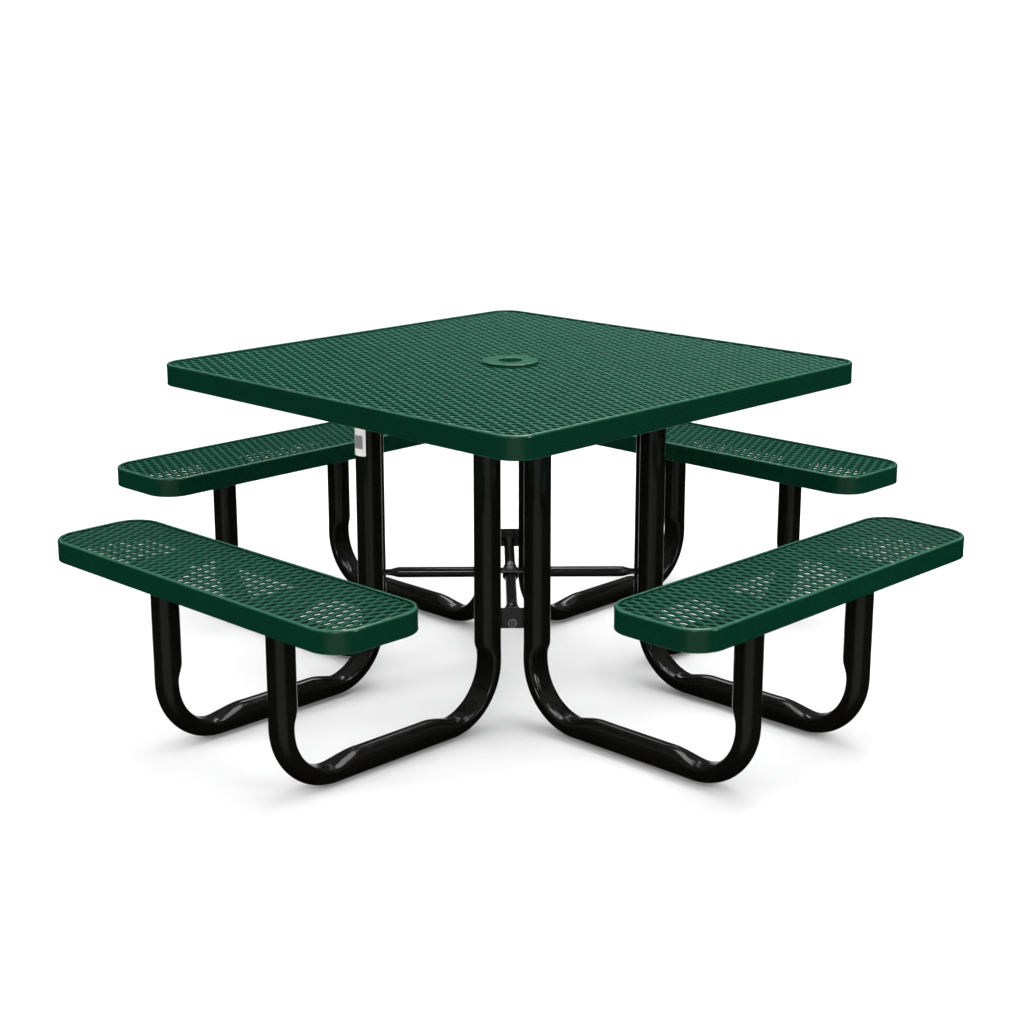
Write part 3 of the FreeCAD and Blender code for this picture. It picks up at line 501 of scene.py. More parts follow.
rimSpec = {
    "wall": 0.009,
    "topOuterRound": 0.0060,
    "topInnerRound": 0.0028,
    "lowRound": 0.0024,
    "faceHollow": 0.0004,
    "hollowStart": 0.006,  # above the lower round
    "hollowStop": 0.005,  # below the top round
    "coatWander": 0.00022,
    "wanderScale": 38.0,
    "cornerSteps": 14,
    "runStep": 0.014,
    "topCorner": 0.056,
    "seatCorner": 0.070,
}


def rimProfile(spec, depth):
    # (distance in from the outer face, height) round the band's section
    wall = spec["wall"]
    low = spec["lowRound"]
    outer = spec["topOuterRound"]
    inner = spec["topInnerRound"]
    hollow = spec["faceHollow"]
    profile = arc(low, low, low, 270, 180, 4)
    profile += [(hollow, low + spec["hollowStart"]), (hollow, depth * 0.35)]
    profile += [(hollow, depth * 0.65), (hollow, depth - outer - spec["hollowStop"])]
    profile += arc(outer, depth - outer, outer, 180, 90, 7)
    profile += arc(wall - inner, depth - inner, inner, 90, 0, 5)
    profile += [(wall, depth * 0.5)]
    profile += arc(wall - low, low, low, 0, -90, 3)
    return profile


def makeRim(name, node, corner, spec):
    middle = boxMiddle(node)
    size = boxSize(node)
    outline = roundedOutline(size[0] / 2, size[1] / 2, corner, spec["cornerSteps"], spec["runStep"])
    profile = rimProfile(spec, size[2])
    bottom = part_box(node)[0][2]
    rings = []
    for point, normal in outline:
        ring = []
        for inset, height in profile:
            spot = Vector((middle[0], middle[1])) + point - normal * inset
            place = Vector((spot.x, spot.y, bottom + height))
            wander = noise.noise(place * spec["wanderScale"]) * spec["coatWander"]
            inward = spec["coatWander"] + wander
            place.x -= normal.x * inward
            place.y -= normal.y * inward
            ring.append(place)
        rings.append(ring)
    shell = newShell()
    addRings(shell, rings, closed=True)
    finishPiece(name, shell, greenRimCoat, [node], crease=60)


makeRim("topRimBand", "top_rim", rimSpec["topCorner"], rimSpec)
for side in sideNames:
    makeRim("seatRimBand" + side.capitalize(), "seat_rim_" + side, rimSpec["seatCorner"], rimSpec)
print("rims made")


# Grilles: raised expanded metal with a thick coat, one mesh for each panel

grilleSpec = {
    "halfLong": 0.0254,
    "halfShort": 0.0117,
    "openLong": 0.0146,
    "openShort": 0.0053,
    "squareness": 1.40,
    "cellPoints": 12,
    "ridge": 0.0025,
    "lip": 0.0010,
    "tilt": 0.0004,
    "middleDrop": 0.0026,
    "underRim": 0.004,
    "wander": 0.0005,
    "wanderScale": 60.0,
    "openWander": 0.06,
    "hubClear": 0.0312,
    "hubOverlap": 0.004,
    "weld": 0.0002,
}


def holdInside(x, y, halfX, halfY, radius):
    # nearest point that is inside a rounded rectangle
    overX = abs(x) - (halfX - radius)
    overY = abs(y) - (halfY - radius)
    if overX > 0 and overY > 0:
        length = math.hypot(overX, overY)
        if length > radius:
            x = math.copysign(halfX - radius + overX / length * radius, x)
            y = math.copysign(halfY - radius + overY / length * radius, y)
        return x, y
    return max(-halfX, min(halfX, x)), max(-halfY, min(halfY, y))


def cellRings(spec):
    # the cell's edge and its opening, as (long, short) points
    tips = [(spec["halfLong"], 0.0), (0.0, spec["halfShort"])]
    tips += [(-spec["halfLong"], 0.0), (0.0, -spec["halfShort"])]
    perSide = spec["cellPoints"] // 4
    power = spec["squareness"]
    edge = []
    opening = []
    for k in range(spec["cellPoints"]):
        first = tips[k // perSide]
        second = tips[(k // perSide + 1) % 4]
        t = (k % perSide) / perSide
        u = first[0] + (second[0] - first[0]) * t
        v = first[1] + (second[1] - first[1]) * t
        size = abs(u / spec["openLong"]) ** power + abs(v / spec["openShort"]) ** power
        reach = size ** (-1 / power)
        edge.append((u, v))
        opening.append((u * reach, v * reach))
    return edge, opening


def makeGrille(name, node, rimNode, corner, longAxis, spec, raised, coat, hub=False):
    middle = boxMiddle(rimNode)
    size = boxSize(rimNode)
    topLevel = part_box(node)[1][2]
    inset = rimSpec["wall"] - spec["underRim"]
    halfX = size[0] / 2 - inset
    halfY = size[1] / 2 - inset
    radius = corner - inset
    edge, opening = cellRings(spec)
    centreLevel = topLevel - spec["middleDrop"]
    alongHalf = halfX if longAxis == "x" else halfY
    acrossHalf = halfY if longAxis == "x" else halfX
    shell = newShell()
    shared = {}

    def pointAt(u, v, level, key=None):
        x, y = (u, v) if longAxis == "x" else (v, u)
        x, y = holdInside(x, y, halfX, halfY, radius)
        if hub:
            out = math.hypot(x, y)
            if out < spec["hubClear"]:
                grow = spec["hubClear"] / max(out, 1e-6)
                x, y = x * grow, y * grow
        sharedKey = (key, round(u, 6), round(v, 6))
        if key is not None and sharedKey in shared:
            return shared[sharedKey]
        spot = Vector((x + middle[0], y + middle[1], level))
        lump = noise.noise(spot * spec["wanderScale"]) * spec["wander"]
        index = len(shell["points"])
        shell["points"].append(Vector((middle[0] + x, middle[1] + y, centreLevel + level + lump)))
        if key is not None:
            shared[sharedKey] = index
        return index

    def shows(u, v):
        x, y = (u, v) if longAxis == "x" else (v, u)
        heldX, heldY = holdInside(x, y, halfX, halfY, radius)
        if hub and math.hypot(x, y) < spec["hubClear"] - spec["hubOverlap"]:
            return False
        return math.hypot(heldX - x, heldY - y) < 1e-6

    columns = int(alongHalf / spec["halfLong"]) + 2
    rows = int(acrossHalf / spec["halfShort"]) + 2
    for row in range(-rows, rows + 1):
        for column in range(-columns, columns + 1):
            if (row + column) % 2:
                continue
            u0 = column * spec["halfLong"]
            v0 = row * spec["halfShort"]
            if not any(shows(u0 + u, v0 + v) for u, v in edge):
                continue
            place = Vector((u0 * 31.0, v0 * 31.0, topLevel * 9.0))
            swell = 1.0 + spec["openWander"] * noise.noise(place)
            upper = []
            lower = []
            high = []
            low = []
            for (u, v), (openU, openV) in zip(edge, opening):
                lean = raised * spec["tilt"] * openV / spec["openShort"]
                holeU = u0 + openU * swell
                holeV = v0 + openV * swell
                upper.append(pointAt(u0 + u, v0 + v, spec["ridge"], "upper"))
                lower.append(pointAt(u0 + u, v0 + v, -spec["ridge"], "lower"))
                high.append(pointAt(holeU, holeV, lean + spec["lip"]))
                low.append(pointAt(holeU, holeV, lean - spec["lip"]))
            for k in range(len(edge)):
                after = (k + 1) % len(edge)
                for outer, inner in ((upper, high), (high, low), (low, lower)):
                    face = (outer[k], outer[after], inner[after], inner[k])
                    if len(set(face)) == 4:
                        shell["faces"].append(face)
    finishPiece(name, shell, coat, [node], crease=80, weld=spec["weld"])


topSpec = dict(grilleSpec, openLong=0.0170, openShort=0.0073)
makeGrille("topGrille", "top_mesh", "top_rim", rimSpec["topCorner"], "x", topSpec, -1,
           greenStrandCoat, hub=True)
for side in sideNames:
    longAxis, raised = ("y", 1) if side in ("front", "back") else ("x", -1)
    grilleName = "seatGrille" + side.capitalize()
    makeGrille(grilleName, "seat_mesh_" + side, "seat_rim_" + side, rimSpec["seatCorner"],
               longAxis, grilleSpec, raised, greenSeatStrandCoat)
print("grilles made")


# Hub: a rounded ring on the grille and the pole sleeve under it

hubSpec = {
    "round": 0.0032,
    "boreRound": 0.0016,
    "sleeveRound": 0.0010,
    "sleeveWall": 0.00265,
    "footHeight": 0.002,
    "crownShare": 0.72,
    "crownDrop": 0.00015,
    "steps": 96,
}


def spinProfile(shell, stand, profile, steps):
    # (radius, height) points turned about the upright axis of stand
    rings = []
    for c, s in circle(steps):
        rings.append([stand @ Vector((r * c, r * s, height)) for r, height in profile])
    addRings(shell, rings, closed=True)


def makeHub(spec):
    low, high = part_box("umbrella_ring")
    sleeveLow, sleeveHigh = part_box("umbrella_collar")
    outer = (high[0] - low[0]) / 2
    sleeve = (sleeveHigh[0] - sleeveLow[0]) / 2
    bore = sleeve - spec["sleeveWall"]
    r = spec["round"]
    b = spec["boreRound"]
    s = spec["sleeveRound"]
    ringProfile = [(outer, low[2]), (outer, low[2] + spec["footHeight"])]
    ringProfile += arc(outer - r, high[2] - r, r, 0, 90, 7)
    ringProfile += [(outer * spec["crownShare"], high[2] - spec["crownDrop"])]
    ringProfile += arc(bore + b, high[2] - b, b, 90, 180, 5)
    ringProfile += [(bore, low[2])]
    sleeveProfile = [(bore, sleeveHigh[2])]
    sleeveProfile += arc(bore + s, sleeveLow[2] + s, s, 180, 270, 4)
    sleeveProfile += arc(sleeve - s, sleeveLow[2] + s, s, 270, 360, 4)
    sleeveProfile += [(sleeve, sleeveHigh[2])]
    for name, node, profile, coat, slotName in (
            ("umbrellaRing", "umbrella_ring", ringProfile, greenRimCoat, "coating"),
            ("umbrellaSleeve", "umbrella_collar", sleeveProfile, blackPowderCoat, "frame")):
        x, y, _ = boxMiddle(node)
        shell = newShell()
        spinProfile(shell, Matrix.Translation((x, y, 0)), profile, spec["steps"])
        finishPiece(name, shell, coat, [node], crease=50)


makeHub(hubSpec)
print("hub made")


# Legs: press-bent tubes, pushed in on the inside of each bend

legSpec = {
    "radius": 0.03015,
    "bend": 0.127,
    "crushShare": 0.60,
    "widen": 0.03,
    "flatness": 0.28,
    "postStart": 0.004,  # the dent fades in along the post, from here to lead
    "lead": 0.042,
    "early": 0.034,  # and out along the floor run, from early before the bend's end to settle
    "settle": 0.062,
    "shoulder": 0.010,
    "floorShoulder": {"gap": 0.006, "width": 0.012, "share": 1.0},
    "postShoulder": {"gap": 0.010, "width": 0.014, "share": 0.4},
    "dimple": 0.00045,
    "wrinkle": 0.00012,
    "wrinkleStep": 0.019,
    "around": 72,
    "bendSteps": 32,
    "fineStep": 0.006,
    "fineReach": 0.08,
    "coarseStep": 0.03,
}
tablePost = boxMiddle("table_mount_right_a")[0]
seatPost = boxMiddle("seat_mount_right_a")[0]
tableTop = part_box("table_mount_right_a")[0][2]
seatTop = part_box("seat_mount_right_a")[0][2]
legSide = abs(boxMiddle("leg_right_a")[1])
plateReach = (tablePost + legSide) / math.sqrt(2)  # from the table's middle to a corner plate


def legStations(spec):
    # (distance from the middle, height, inward normal, way along), down, along and up
    bend = spec["bend"]
    floorLine = spec["radius"]
    bendTop = floorLine + bend
    fine = spec["fineStep"]
    bendSteps = spec["bendSteps"]
    firstRun = tableTop - bendTop
    floorRun = (seatPost - bend) - (tablePost + bend)
    lastRun = seatTop - bendTop
    arcLength = bend * math.pi / 2
    base = firstRun + 2 * arcLength + floorRun
    stations = []

    def addBend(middle, startAngle, startWay):
        for i in range(bendSteps + 1):
            angle = math.radians(startAngle + 90 * i / bendSteps)
            c = math.cos(angle)
            s = math.sin(angle)
            way = startWay + arcLength * i / bendSteps
            stations.append((middle + bend * c, bendTop + bend * s, (-c, -s), way))

    along = 0.0
    while along < firstRun:
        stations.append((tablePost, tableTop - along, (1, 0), along))
        along += fine if along > firstRun - spec["fineReach"] else spec["coarseStep"]
    addBend(tablePost + bend, 180, firstRun)
    steps = max(int(floorRun / fine), 2)
    for i in range(1, steps):
        along = floorRun * i / steps
        way = firstRun + arcLength + along
        stations.append((tablePost + bend + along, floorLine, (0, 1), way))
    addBend(seatPost - bend, 270, firstRun + arcLength + floorRun)
    along = fine
    while along < lastRun:
        stations.append((seatPost, bendTop + along, (-1, 0), base + along))
        along += fine if along < spec["fineReach"] else spec["coarseStep"]
    stations.append((seatPost, seatTop, (-1, 0), base + lastRun))
    bends = [(firstRun, firstRun + arcLength, 1), (base - arcLength, base, -1)]
    return stations, bends


def crushAt(way, bends, spec):
    # how far the inside is pushed in, and the swell of the shoulders beside it
    floorSide = spec["floorShoulder"]
    postSide = spec["postShoulder"]
    crush = 0.0
    swell = 0.0
    for start, stop, order in bends:
        postEnd, floorEnd = (start, stop) if order > 0 else (stop, start)
        beforePost = start - way if order > 0 else way - stop
        pastFloor = way - stop if order > 0 else start - way
        rise = 1 - smooth(spec["postStart"], spec["lead"], beforePost)
        fall = 1 - smooth(-spec["early"], spec["settle"], pastFloor)
        crush = max(crush, rise * fall)
        places = ((floorSide, floorEnd + order * (spec["settle"] + floorSide["gap"])),
                  (postSide, postEnd - order * (spec["lead"] + postSide["gap"])))
        for shoulder, place in places:
            swell += shoulder["share"] * math.exp(-((way - place) / shoulder["width"]) ** 2)
    return crush, swell


def makeLeg(name, node, turn, sideways, spec):
    stations, bends = legStations(spec)
    radius = spec["radius"]
    spin = spinZ(turn)
    rings = []
    for u, z, inward, way in stations:
        crush, swell = crushAt(way, bends, spec)
        keep = 1 - spec["crushShare"] * crush + spec["shoulder"] * swell * (1 - crush)
        ring = []
        for c, s in circle(spec["around"]):
            across = c * radius * (1 + spec["widen"] * crush)
            toward = s
            if toward > 0:
                toward = keep * toward ** (1 - spec["flatness"] * crush)
                mark = noise.noise(Vector((way * 55.0, across * 210.0, sideways * 7.0 + turn)))
                fold = math.sin(2 * math.pi * way / spec["wrinkleStep"] + 2.5 * mark)
                toward += crush * spec["dimple"] / radius * mark * s * 2
                toward += crush ** 2 * spec["wrinkle"] / radius * fold * s ** 0.5
            toward *= radius
            place = Vector((u + inward[0] * toward, sideways + across, z + inward[1] * toward))
            ring.append(spin @ place)
        rings.append(ring)
    shell = newShell()
    addRings(shell, rings, capped=True)
    finishPiece(name, shell, blackPowderCoat, [node], crease=60)


for side in sideNames:
    for hand, sign in handSigns.items():
        pieceName = "legTube" + side.capitalize() + hand.upper()
        makeLeg(pieceName, f"leg_{side}_{hand}", sideTurns[side], sign * legSide, legSpec)
print("legs made")


# Welds: a beaded fillet round each post under its plate, and beside each corner plate

weldSpec = {
    "around": 10,
    "lapShare": 0.10,
    "unevenShare": 0.12,
    "unevenScale": 90.0,
    "endShare": 0.35,
    "post": {"bead": 0.0034, "lap": 0.0052, "points": 120, "drop": 0.35, "out": 0.15},
    "plate": {"bead": 0.0026, "lap": 0.0046, "points": 34, "margin": 0.0015, "face": 0.0036,
              "overlap": 0.0004},
}


def addBead(shell, path, closed, kind, seed, spec):
    # a bead along a path of points, with the laps of a hand weld
    rings = []
    count = len(path)
    way = 0.0
    for i, point in enumerate(path):
        before = path[i - 1] if (i > 0 or closed) else path[i]
        after = path[(i + 1) % count] if (i < count - 1 or closed) else path[i]
        direction = (after - before).normalized()
        sideAxis = direction.cross(Vector((0.31, 0.17, 0.93))).normalized()
        upAxis = direction.cross(sideAxis).normalized()
        way += (point - path[i - 1]).length if i > 0 else 0.0
        lap = 0.5 + 0.5 * math.sin(2 * math.pi * way / kind["lap"])
        uneven = spec["unevenShare"] * noise.noise(point * spec["unevenScale"] + seed)
        size = kind["bead"] * (1 - spec["lapShare"] * lap + uneven)
        if not closed and i in (0, count - 1):
            size *= spec["endShare"]
        ring = [point + sideAxis * size * c + upAxis * size * s for c, s in circle(spec["around"])]
        rings.append(ring)
    addRings(shell, rings, closed=closed, capped=not closed)


def makeWelds(spec):
    shell = newShell()
    seed = Vector((0.0, 0.0, 0.0))
    post = spec["post"]
    radius = legSpec["radius"] + post["bead"] * post["out"]
    for mount in mountNames:
        x, y, _ = boxMiddle(mount)
        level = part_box(mount)[0][2] - post["bead"] * post["drop"]
        path = []
        for c, s in circle(post["points"]):
            path.append(Vector((x + radius * c, y + radius * s, level)))
        seed = seed + Vector((3.1, 1.7, 0.0))
        addBead(shell, path, True, post, seed, spec)
    plate = spec["plate"]
    low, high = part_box("corner_plate_front_right")
    gapHalf = (tablePost - legSide) / math.sqrt(2) - legSpec["radius"]
    height = high[2] - low[2] - 2 * plate["margin"]
    for turn in cornerTurns:
        spin = spinZ(turn)
        for face in (-1, 1):
            for end in (-1, 1):
                out = plateReach + face * plate["face"]
                across = end * (gapHalf - plate["overlap"])
                path = []
                for i in range(plate["points"]):
                    level = low[2] + plate["margin"] + height * i / (plate["points"] - 1)
                    path.append(spin @ Vector((out, across, level)))
                seed = seed + Vector((2.3, 0.9, 0.0))
                addBead(shell, path, False, plate, seed, spec)
    finishPiece("weldBeads", shell, blackPowderCoat, crease=70)


makeWelds(weldSpec)
print("welds made")


# Braces: round tubes, pressed flat at the crossing and at the ends, with tabs turned down

braceSpec = {
    "radius": 0.0127,
    "level": 0.261,
    "flatWidth": 0.038,
    "flatThick": 0.0065,
    "crossHalf": 0.030,
    "crossGap": 0.0001,
    "taper": 0.034,
    "endFlat": 0.030,
    "tabHalf": 0.018,
    "tabRise": 0.001,
    "tabCorner": 0.008,
    "tabEdge": ((0.0, 0.0012), (0.0004, 0.0004), (0.0012, 0.0)),  # (depth, drawn in)
    "kneeRound": 0.0045,
    "kneeEdge": ((-0.0008, 0.6), (0.0006, 0.15), (0.003, 0.0)),  # (from the side, drawn in)
    "kneeDrop": 0.004,
    "kneeBack": 0.003,
    "groove": 0.0010,
    "grooveHalf": 0.006,
    "around": 36,
    "along": 150,
}
plateHalf = 0.00635 / 2
tabFace = plateReach - plateHalf


def braceRing(place, flat, side, spec):
    # the section at one place: round, or pressed flat with rolled edges and a shallow groove
    ring = []
    radius = spec["radius"]
    for c, s in circle(spec["around"]):
        flatY = spec["flatWidth"] / 2 * math.copysign(abs(c) ** 0.85, c)
        flatZ = spec["flatThick"] / 2 * math.copysign(abs(s) ** 0.45, s)
        hollow = math.exp(-(flatY / spec["grooveHalf"]) ** 2)
        dip = spec["groove"] * 4 * flat * (1 - flat) * hollow
        y = radius * c * (1 - flat) + flatY * flat
        z = radius * s * (1 - flat) + flatZ * flat - math.copysign(dip, s) * 2
        ring.append(Vector((place, y, z + side)))
    return ring


def addTab(shell, spin, end, drop, spec):
    # the flat part turned down on the corner plate, with soft edges and round lower corners
    thick = spec["flatThick"]
    half = spec["tabHalf"]
    corner = spec["tabCorner"]
    inner = tabFace - thick
    outline = [(half, thick / 2 - 0.0002), (half, -drop + corner)]
    outline += arc(half - corner, -drop + corner, corner, 0, -90, 6)[1:]
    outline += arc(-half + corner, -drop + corner, corner, -90, -180, 6)
    outline += [(-half, thick / 2 - 0.0002)]
    middleZ = (thick / 2 - drop) / 2
    layers = list(spec["tabEdge"])
    layers += [(thick - depth, shrink) for depth, shrink in reversed(spec["tabEdge"])]
    rings = []
    for depth, shrink in layers:
        ring = []
        for y, z in outline:
            pull = shrink / max(math.hypot(y, z - middleZ), 1e-6)
            place = Vector((end * (inner + depth), y - y * pull, z - (z - middleZ) * pull))
            ring.append(spin @ place)
        rings.append(ring)
    addRings(shell, rings, capped=True)


def addKnee(shell, spin, end, spec):
    # the round outside of the bend between brace and tab
    thick = spec["flatThick"]
    half = spec["tabHalf"]
    radius = spec["kneeRound"]
    inner = tabFace - thick
    back = inner - spec["kneeBack"]
    section = []
    for k in range(9):
        angle = math.radians(90 * k / 8)
        section.append((inner + thick - radius + radius * math.sin(angle),
                        thick / 2 - radius + radius * math.cos(angle)))
    section += [(inner + thick, -spec["kneeDrop"]), (inner + 0.0002, -spec["kneeDrop"])]
    section += [(back, -thick / 2), (back, thick / 2)]
    slices = [(-half + gap, shrink) for gap, shrink in spec["kneeEdge"]]
    slices += [(half - gap, shrink) for gap, shrink in reversed(spec["kneeEdge"])]
    rings = []
    for y, shrink in slices:
        ring = []
        for x, z in section:
            pullX = x - (x - (inner + thick / 2)) * shrink * 0.25
            pullZ = z - z * shrink * 0.25
            ring.append(spin @ Vector((end * pullX, y, pullZ)))
        rings.append(ring)
    addRings(shell, rings, capped=True)


def makeBrace(name, node, turn, order, spec):
    shell = newShell()
    spin = Matrix.Translation((0, 0, spec["level"])) @ spinZ(turn)
    crossLevel = order * (spec["flatThick"] + spec["crossGap"]) / 2
    endStart = tabFace - spec["endFlat"]
    reach = tabFace - spec["flatThick"]
    rings = []
    for i in range(spec["along"] + 1):
        place = -reach + 2 * reach * i / spec["along"]
        out = abs(place)
        middleFlat = 1 - smooth(spec["crossHalf"], spec["crossHalf"] + spec["taper"], out)
        endFlat = smooth(endStart - spec["taper"], endStart, out)
        flat = max(middleFlat, endFlat)
        ring = braceRing(place, flat, crossLevel * middleFlat, spec)
        rings.append([spin @ p for p in ring])
    addRings(shell, rings, capped=True)
    drop = spec["level"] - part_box("corner_plate_front_right")[0][2] - spec["tabRise"]
    for end in (-1, 1):
        addTab(shell, spin, end, drop, spec)
        addKnee(shell, spin, end, spec)
    finishPiece(name, shell, blackPowderCoat, [node], crease=50)


makeBrace("braceOver", "brace_upper", 45, 1, braceSpec)
makeBrace("braceUnder", "brace_lower", -45, -1, braceSpec)
print("braces made")


# Fasteners: chamfered hexagons, washers and threaded shanks

boltSpec = {
    "flats": 0.0159,
    "headHeight": 0.0064,
    "shank": 0.0095,
    "mountLength": 0.024,
    "nutHeight": 0.0084,
    "reach": 0.041,
    "smallFlats": 0.0143,
    "braceLength": 0.044,
    "crossLength": 0.026,
    "washer": 0.0206,
    "washerThick": 0.002,
    "braceHeight": 0.242,
    "pitch": 0.0016,
    "threadDepth": 0.0006,
    "chamferShare": 0.62,
    "chamferSwell": 0.35,
    "chamferFace": 0.985,
    "angleWall": 0.0048,
    "twist": 37,
}


def hexagonPoint(angle, flats, limit, level):
    sector = (angle + math.pi / 6) % (math.pi / 3) - math.pi / 6
    radius = min(flats / 2 / math.cos(sector), limit)
    return radius * math.cos(angle), radius * math.sin(angle), level


def addHexagon(shell, stand, flats, low, high, spec, bore=0.0):
    # from low to high, its corners turned off in a cone; a head has no bore and a sharp high end
    steps = 72
    corner = flats / math.sqrt(3)
    cone = (corner - flats / 2) * spec["chamferShare"]
    shoulder = corner - cone * spec["chamferSwell"]
    face = flats / 2 * spec["chamferFace"]
    levels = [(low, face), (low + cone * 0.5, shoulder), (low + cone, corner)]
    if bore:
        levels += [(high - cone, corner), (high - cone * 0.5, shoulder), (high, face)]
    else:
        levels += [(high, corner)]
    rings = []
    for level, limit in levels:
        rings.append([hexagonPoint(angle, flats, limit, level) for angle in turns(steps)])
    if bore:
        rings.insert(0, [(bore * c, bore * s, low) for c, s in circle(steps)])
        rings.append([(bore * c, bore * s, high) for c, s in circle(steps)])
    placed = [[stand @ Vector(p) for p in ring] for ring in rings]
    addRings(shell, placed, closed=bool(bore), capped=not bore)


def addShank(shell, stand, low, high, threadFrom, spec):
    # a round shank, then a single-start thread cut as one winding surface with a chamfered end
    steps = 24
    radius = spec["shank"] / 2
    fine = spec["pitch"] / 5
    coarse = max((threadFrom - low) / 3, 0.001)
    rings = []
    level = low
    while level < high - 0.0012:
        ring = []
        for k, (c, s) in enumerate(circle(steps)):
            r = radius
            if level > threadFrom:
                phase = ((level / spec["pitch"]) - k / steps) % 1.0
                r = radius - spec["threadDepth"] * abs(2 * phase - 1)
            ring.append(stand @ Vector((r * c, r * s, level)))
        rings.append(ring)
        level += fine if level > threadFrom - fine else coarse
    for level, r in ((high - 0.0010, radius - 0.0004), (high, radius - 0.0014)):
        rings.append([stand @ Vector((r * c, r * s, level)) for c, s in circle(steps)])
    addRings(shell, rings, capped=True)


def addWasher(shell, stand, spec):
    outer = spec["washer"] / 2
    inner = spec["shank"] / 2 + 0.0003
    thick = spec["washerThick"]
    profile = [(inner, 0.0), (outer - 0.0005, 0.0), (outer, 0.0005), (outer, thick - 0.0005),
               (outer - 0.0005, thick), (inner, thick)]
    spinProfile(shell, stand, profile, 48)


def addBolt(bolts, nuts, stand, flats, length, nutLow, spec):
    # head below the stand's origin, shank up to length, nut from nutLow upwards
    addHexagon(bolts, stand, flats, -spec["headHeight"], 0.0, spec)
    addShank(bolts, stand, -0.001, length, nutLow, spec)
    addHexagon(nuts, stand, flats, nutLow, nutLow + spec["nutHeight"], spec, spec["shank"] / 2)


def makeFasteners(spec):
    bolts = newShell()
    nuts = newShell()
    braceBolts = newShell()
    braceNuts = newShell()
    washers = newShell()
    crossBolt = newShell()
    twist = 0
    for plate in mountNames:
        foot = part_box(plate)[0][2]
        middle = boxMiddle(plate)
        size = boxSize(plate)
        longX = size[0] > size[1]
        for step in (-spec["reach"], spec["reach"]):
            twist += spec["twist"]
            x = middle[0] + (step if longX else 0)
            y = middle[1] + (0 if longX else step)
            turn = spinZ(twist)
            stand = Matrix.Translation((x, y, foot)) @ turn
            nutLow = size[2] + spec["angleWall"]
            addBolt(bolts, nuts, stand, spec["flats"], spec["mountLength"], nutLow, spec)
    small = spec["smallFlats"]
    out = plateReach + plateHalf + spec["washerThick"]
    tabInner = spec["washerThick"] + 2 * plateHalf + braceSpec["flatThick"]
    for turn in cornerTurns:
        angle = math.radians(turn)
        spot = (out * math.cos(angle), out * math.sin(angle), spec["braceHeight"])
        inward = spinZ(turn) @ Matrix.Rotation(math.radians(-90), 4, "Y")
        twist += spec["twist"]
        stand = Matrix.Translation(spot) @ inward @ spinZ(twist)
        addBolt(braceBolts, braceNuts, stand, small, spec["braceLength"], tabInner, spec)
        addWasher(washers, stand, spec)
    gap = braceSpec["crossGap"]
    crossTop = braceSpec["level"] + braceSpec["flatThick"] + gap / 2
    grip = 2 * braceSpec["flatThick"] + gap
    stand = Matrix.Translation((0, 0, crossTop)) @ Matrix.Rotation(math.radians(180), 4, "X")
    addBolt(crossBolt, braceNuts, stand, small, spec["crossLength"], grip, spec)
    for name, node, shell, coat in (
            ("mountBolts", "mount_bolts", bolts, zincPlate),
            ("mountNuts", "mount_nuts", nuts, zincPlate),
            ("braceBolts", "brace_bolts", braceBolts, darkZinc),
            ("braceNuts", "brace_nuts", braceNuts, zincPlate),
            ("braceWashers", "brace_washers", washers, zincPlate),
            ("crossingBolt", "crossing_bolt", crossBolt, zincPlate)):
        finishPiece(name, shell, coat, [node], crease=25)


makeFasteners(boltSpec)
print("fasteners made")


# Label: a blank sticker wrapped on one table post

labelSpec = {
    "width": 0.0435,
    "height": 0.075,
    "middle": 0.6045,
    "corner": 0.003,
    "facing": -92.0,
    "lift": 0.00025,
    "panel": (0.655, 0.427),  # its shares of the width and height
    "panelDrop": 0.0045,
    "panelCorner": 0.002,
    "panelLift": 0.0001,
    "thick": 0.00005,
    "sunk": 0.0002,
}


def addWrappedPatch(shell, middle, radius, width, height, level, corner, spec):
    # a rounded rectangle on a post, as a thin closed patch
    outline = [point for point, _ in roundedOutline(width / 2, height / 2, corner, 4, 0.003)]
    layers = [(-spec["sunk"], 1.0), (0.0, 1.0)]
    layers += [(spec["thick"], shrink) for shrink in (0.985, 0.66, 0.33, 0.02)]
    rings = []
    for lift, shrink in layers:
        ring = []
        for point in outline:
            angle = math.radians(spec["facing"]) + point.x * shrink / radius
            r = radius + lift
            ring.append(Vector((middle[0] + r * math.cos(angle), middle[1] + r * math.sin(angle),
                                level + point.y * shrink)))
        rings.append(ring)
    addRings(shell, rings, capped=True)


def makeLabel(spec):
    post = boxMiddle("table_mount_front_a")
    radius = legSpec["radius"] + spec["lift"]
    shareX, shareY = spec["panel"]
    sheet = newShell()
    addWrappedPatch(sheet, post, radius, spec["width"], spec["height"], spec["middle"],
                    spec["corner"], spec)
    finishPiece("labelSheet", sheet, labelPaper, crease=60)
    panel = newShell()
    addWrappedPatch(panel, post, radius + spec["panelLift"], spec["width"] * shareX,
                    spec["height"] * shareY, spec["middle"] - spec["panelDrop"],
                    spec["panelCorner"], spec)
    finishPiece("labelBlankPanel", panel, labelPanel, crease=60)


makeLabel(labelSpec)
print("label made")


# The angles and plates keep their own shape and get the coats

def paintNode(name, material):
    for place in nodes[name].material_slots:
        place.material = material


for name in nodes:
    if name.startswith(("top_angle", "seat_angle")):
        paintNode(name, greenRimCoat)
    elif name.startswith(("table_mount", "seat_mount", "corner_plate")):
        paintNode(name, blackPowderCoat)
print("kept nodes coated")


# Floor, world and lights

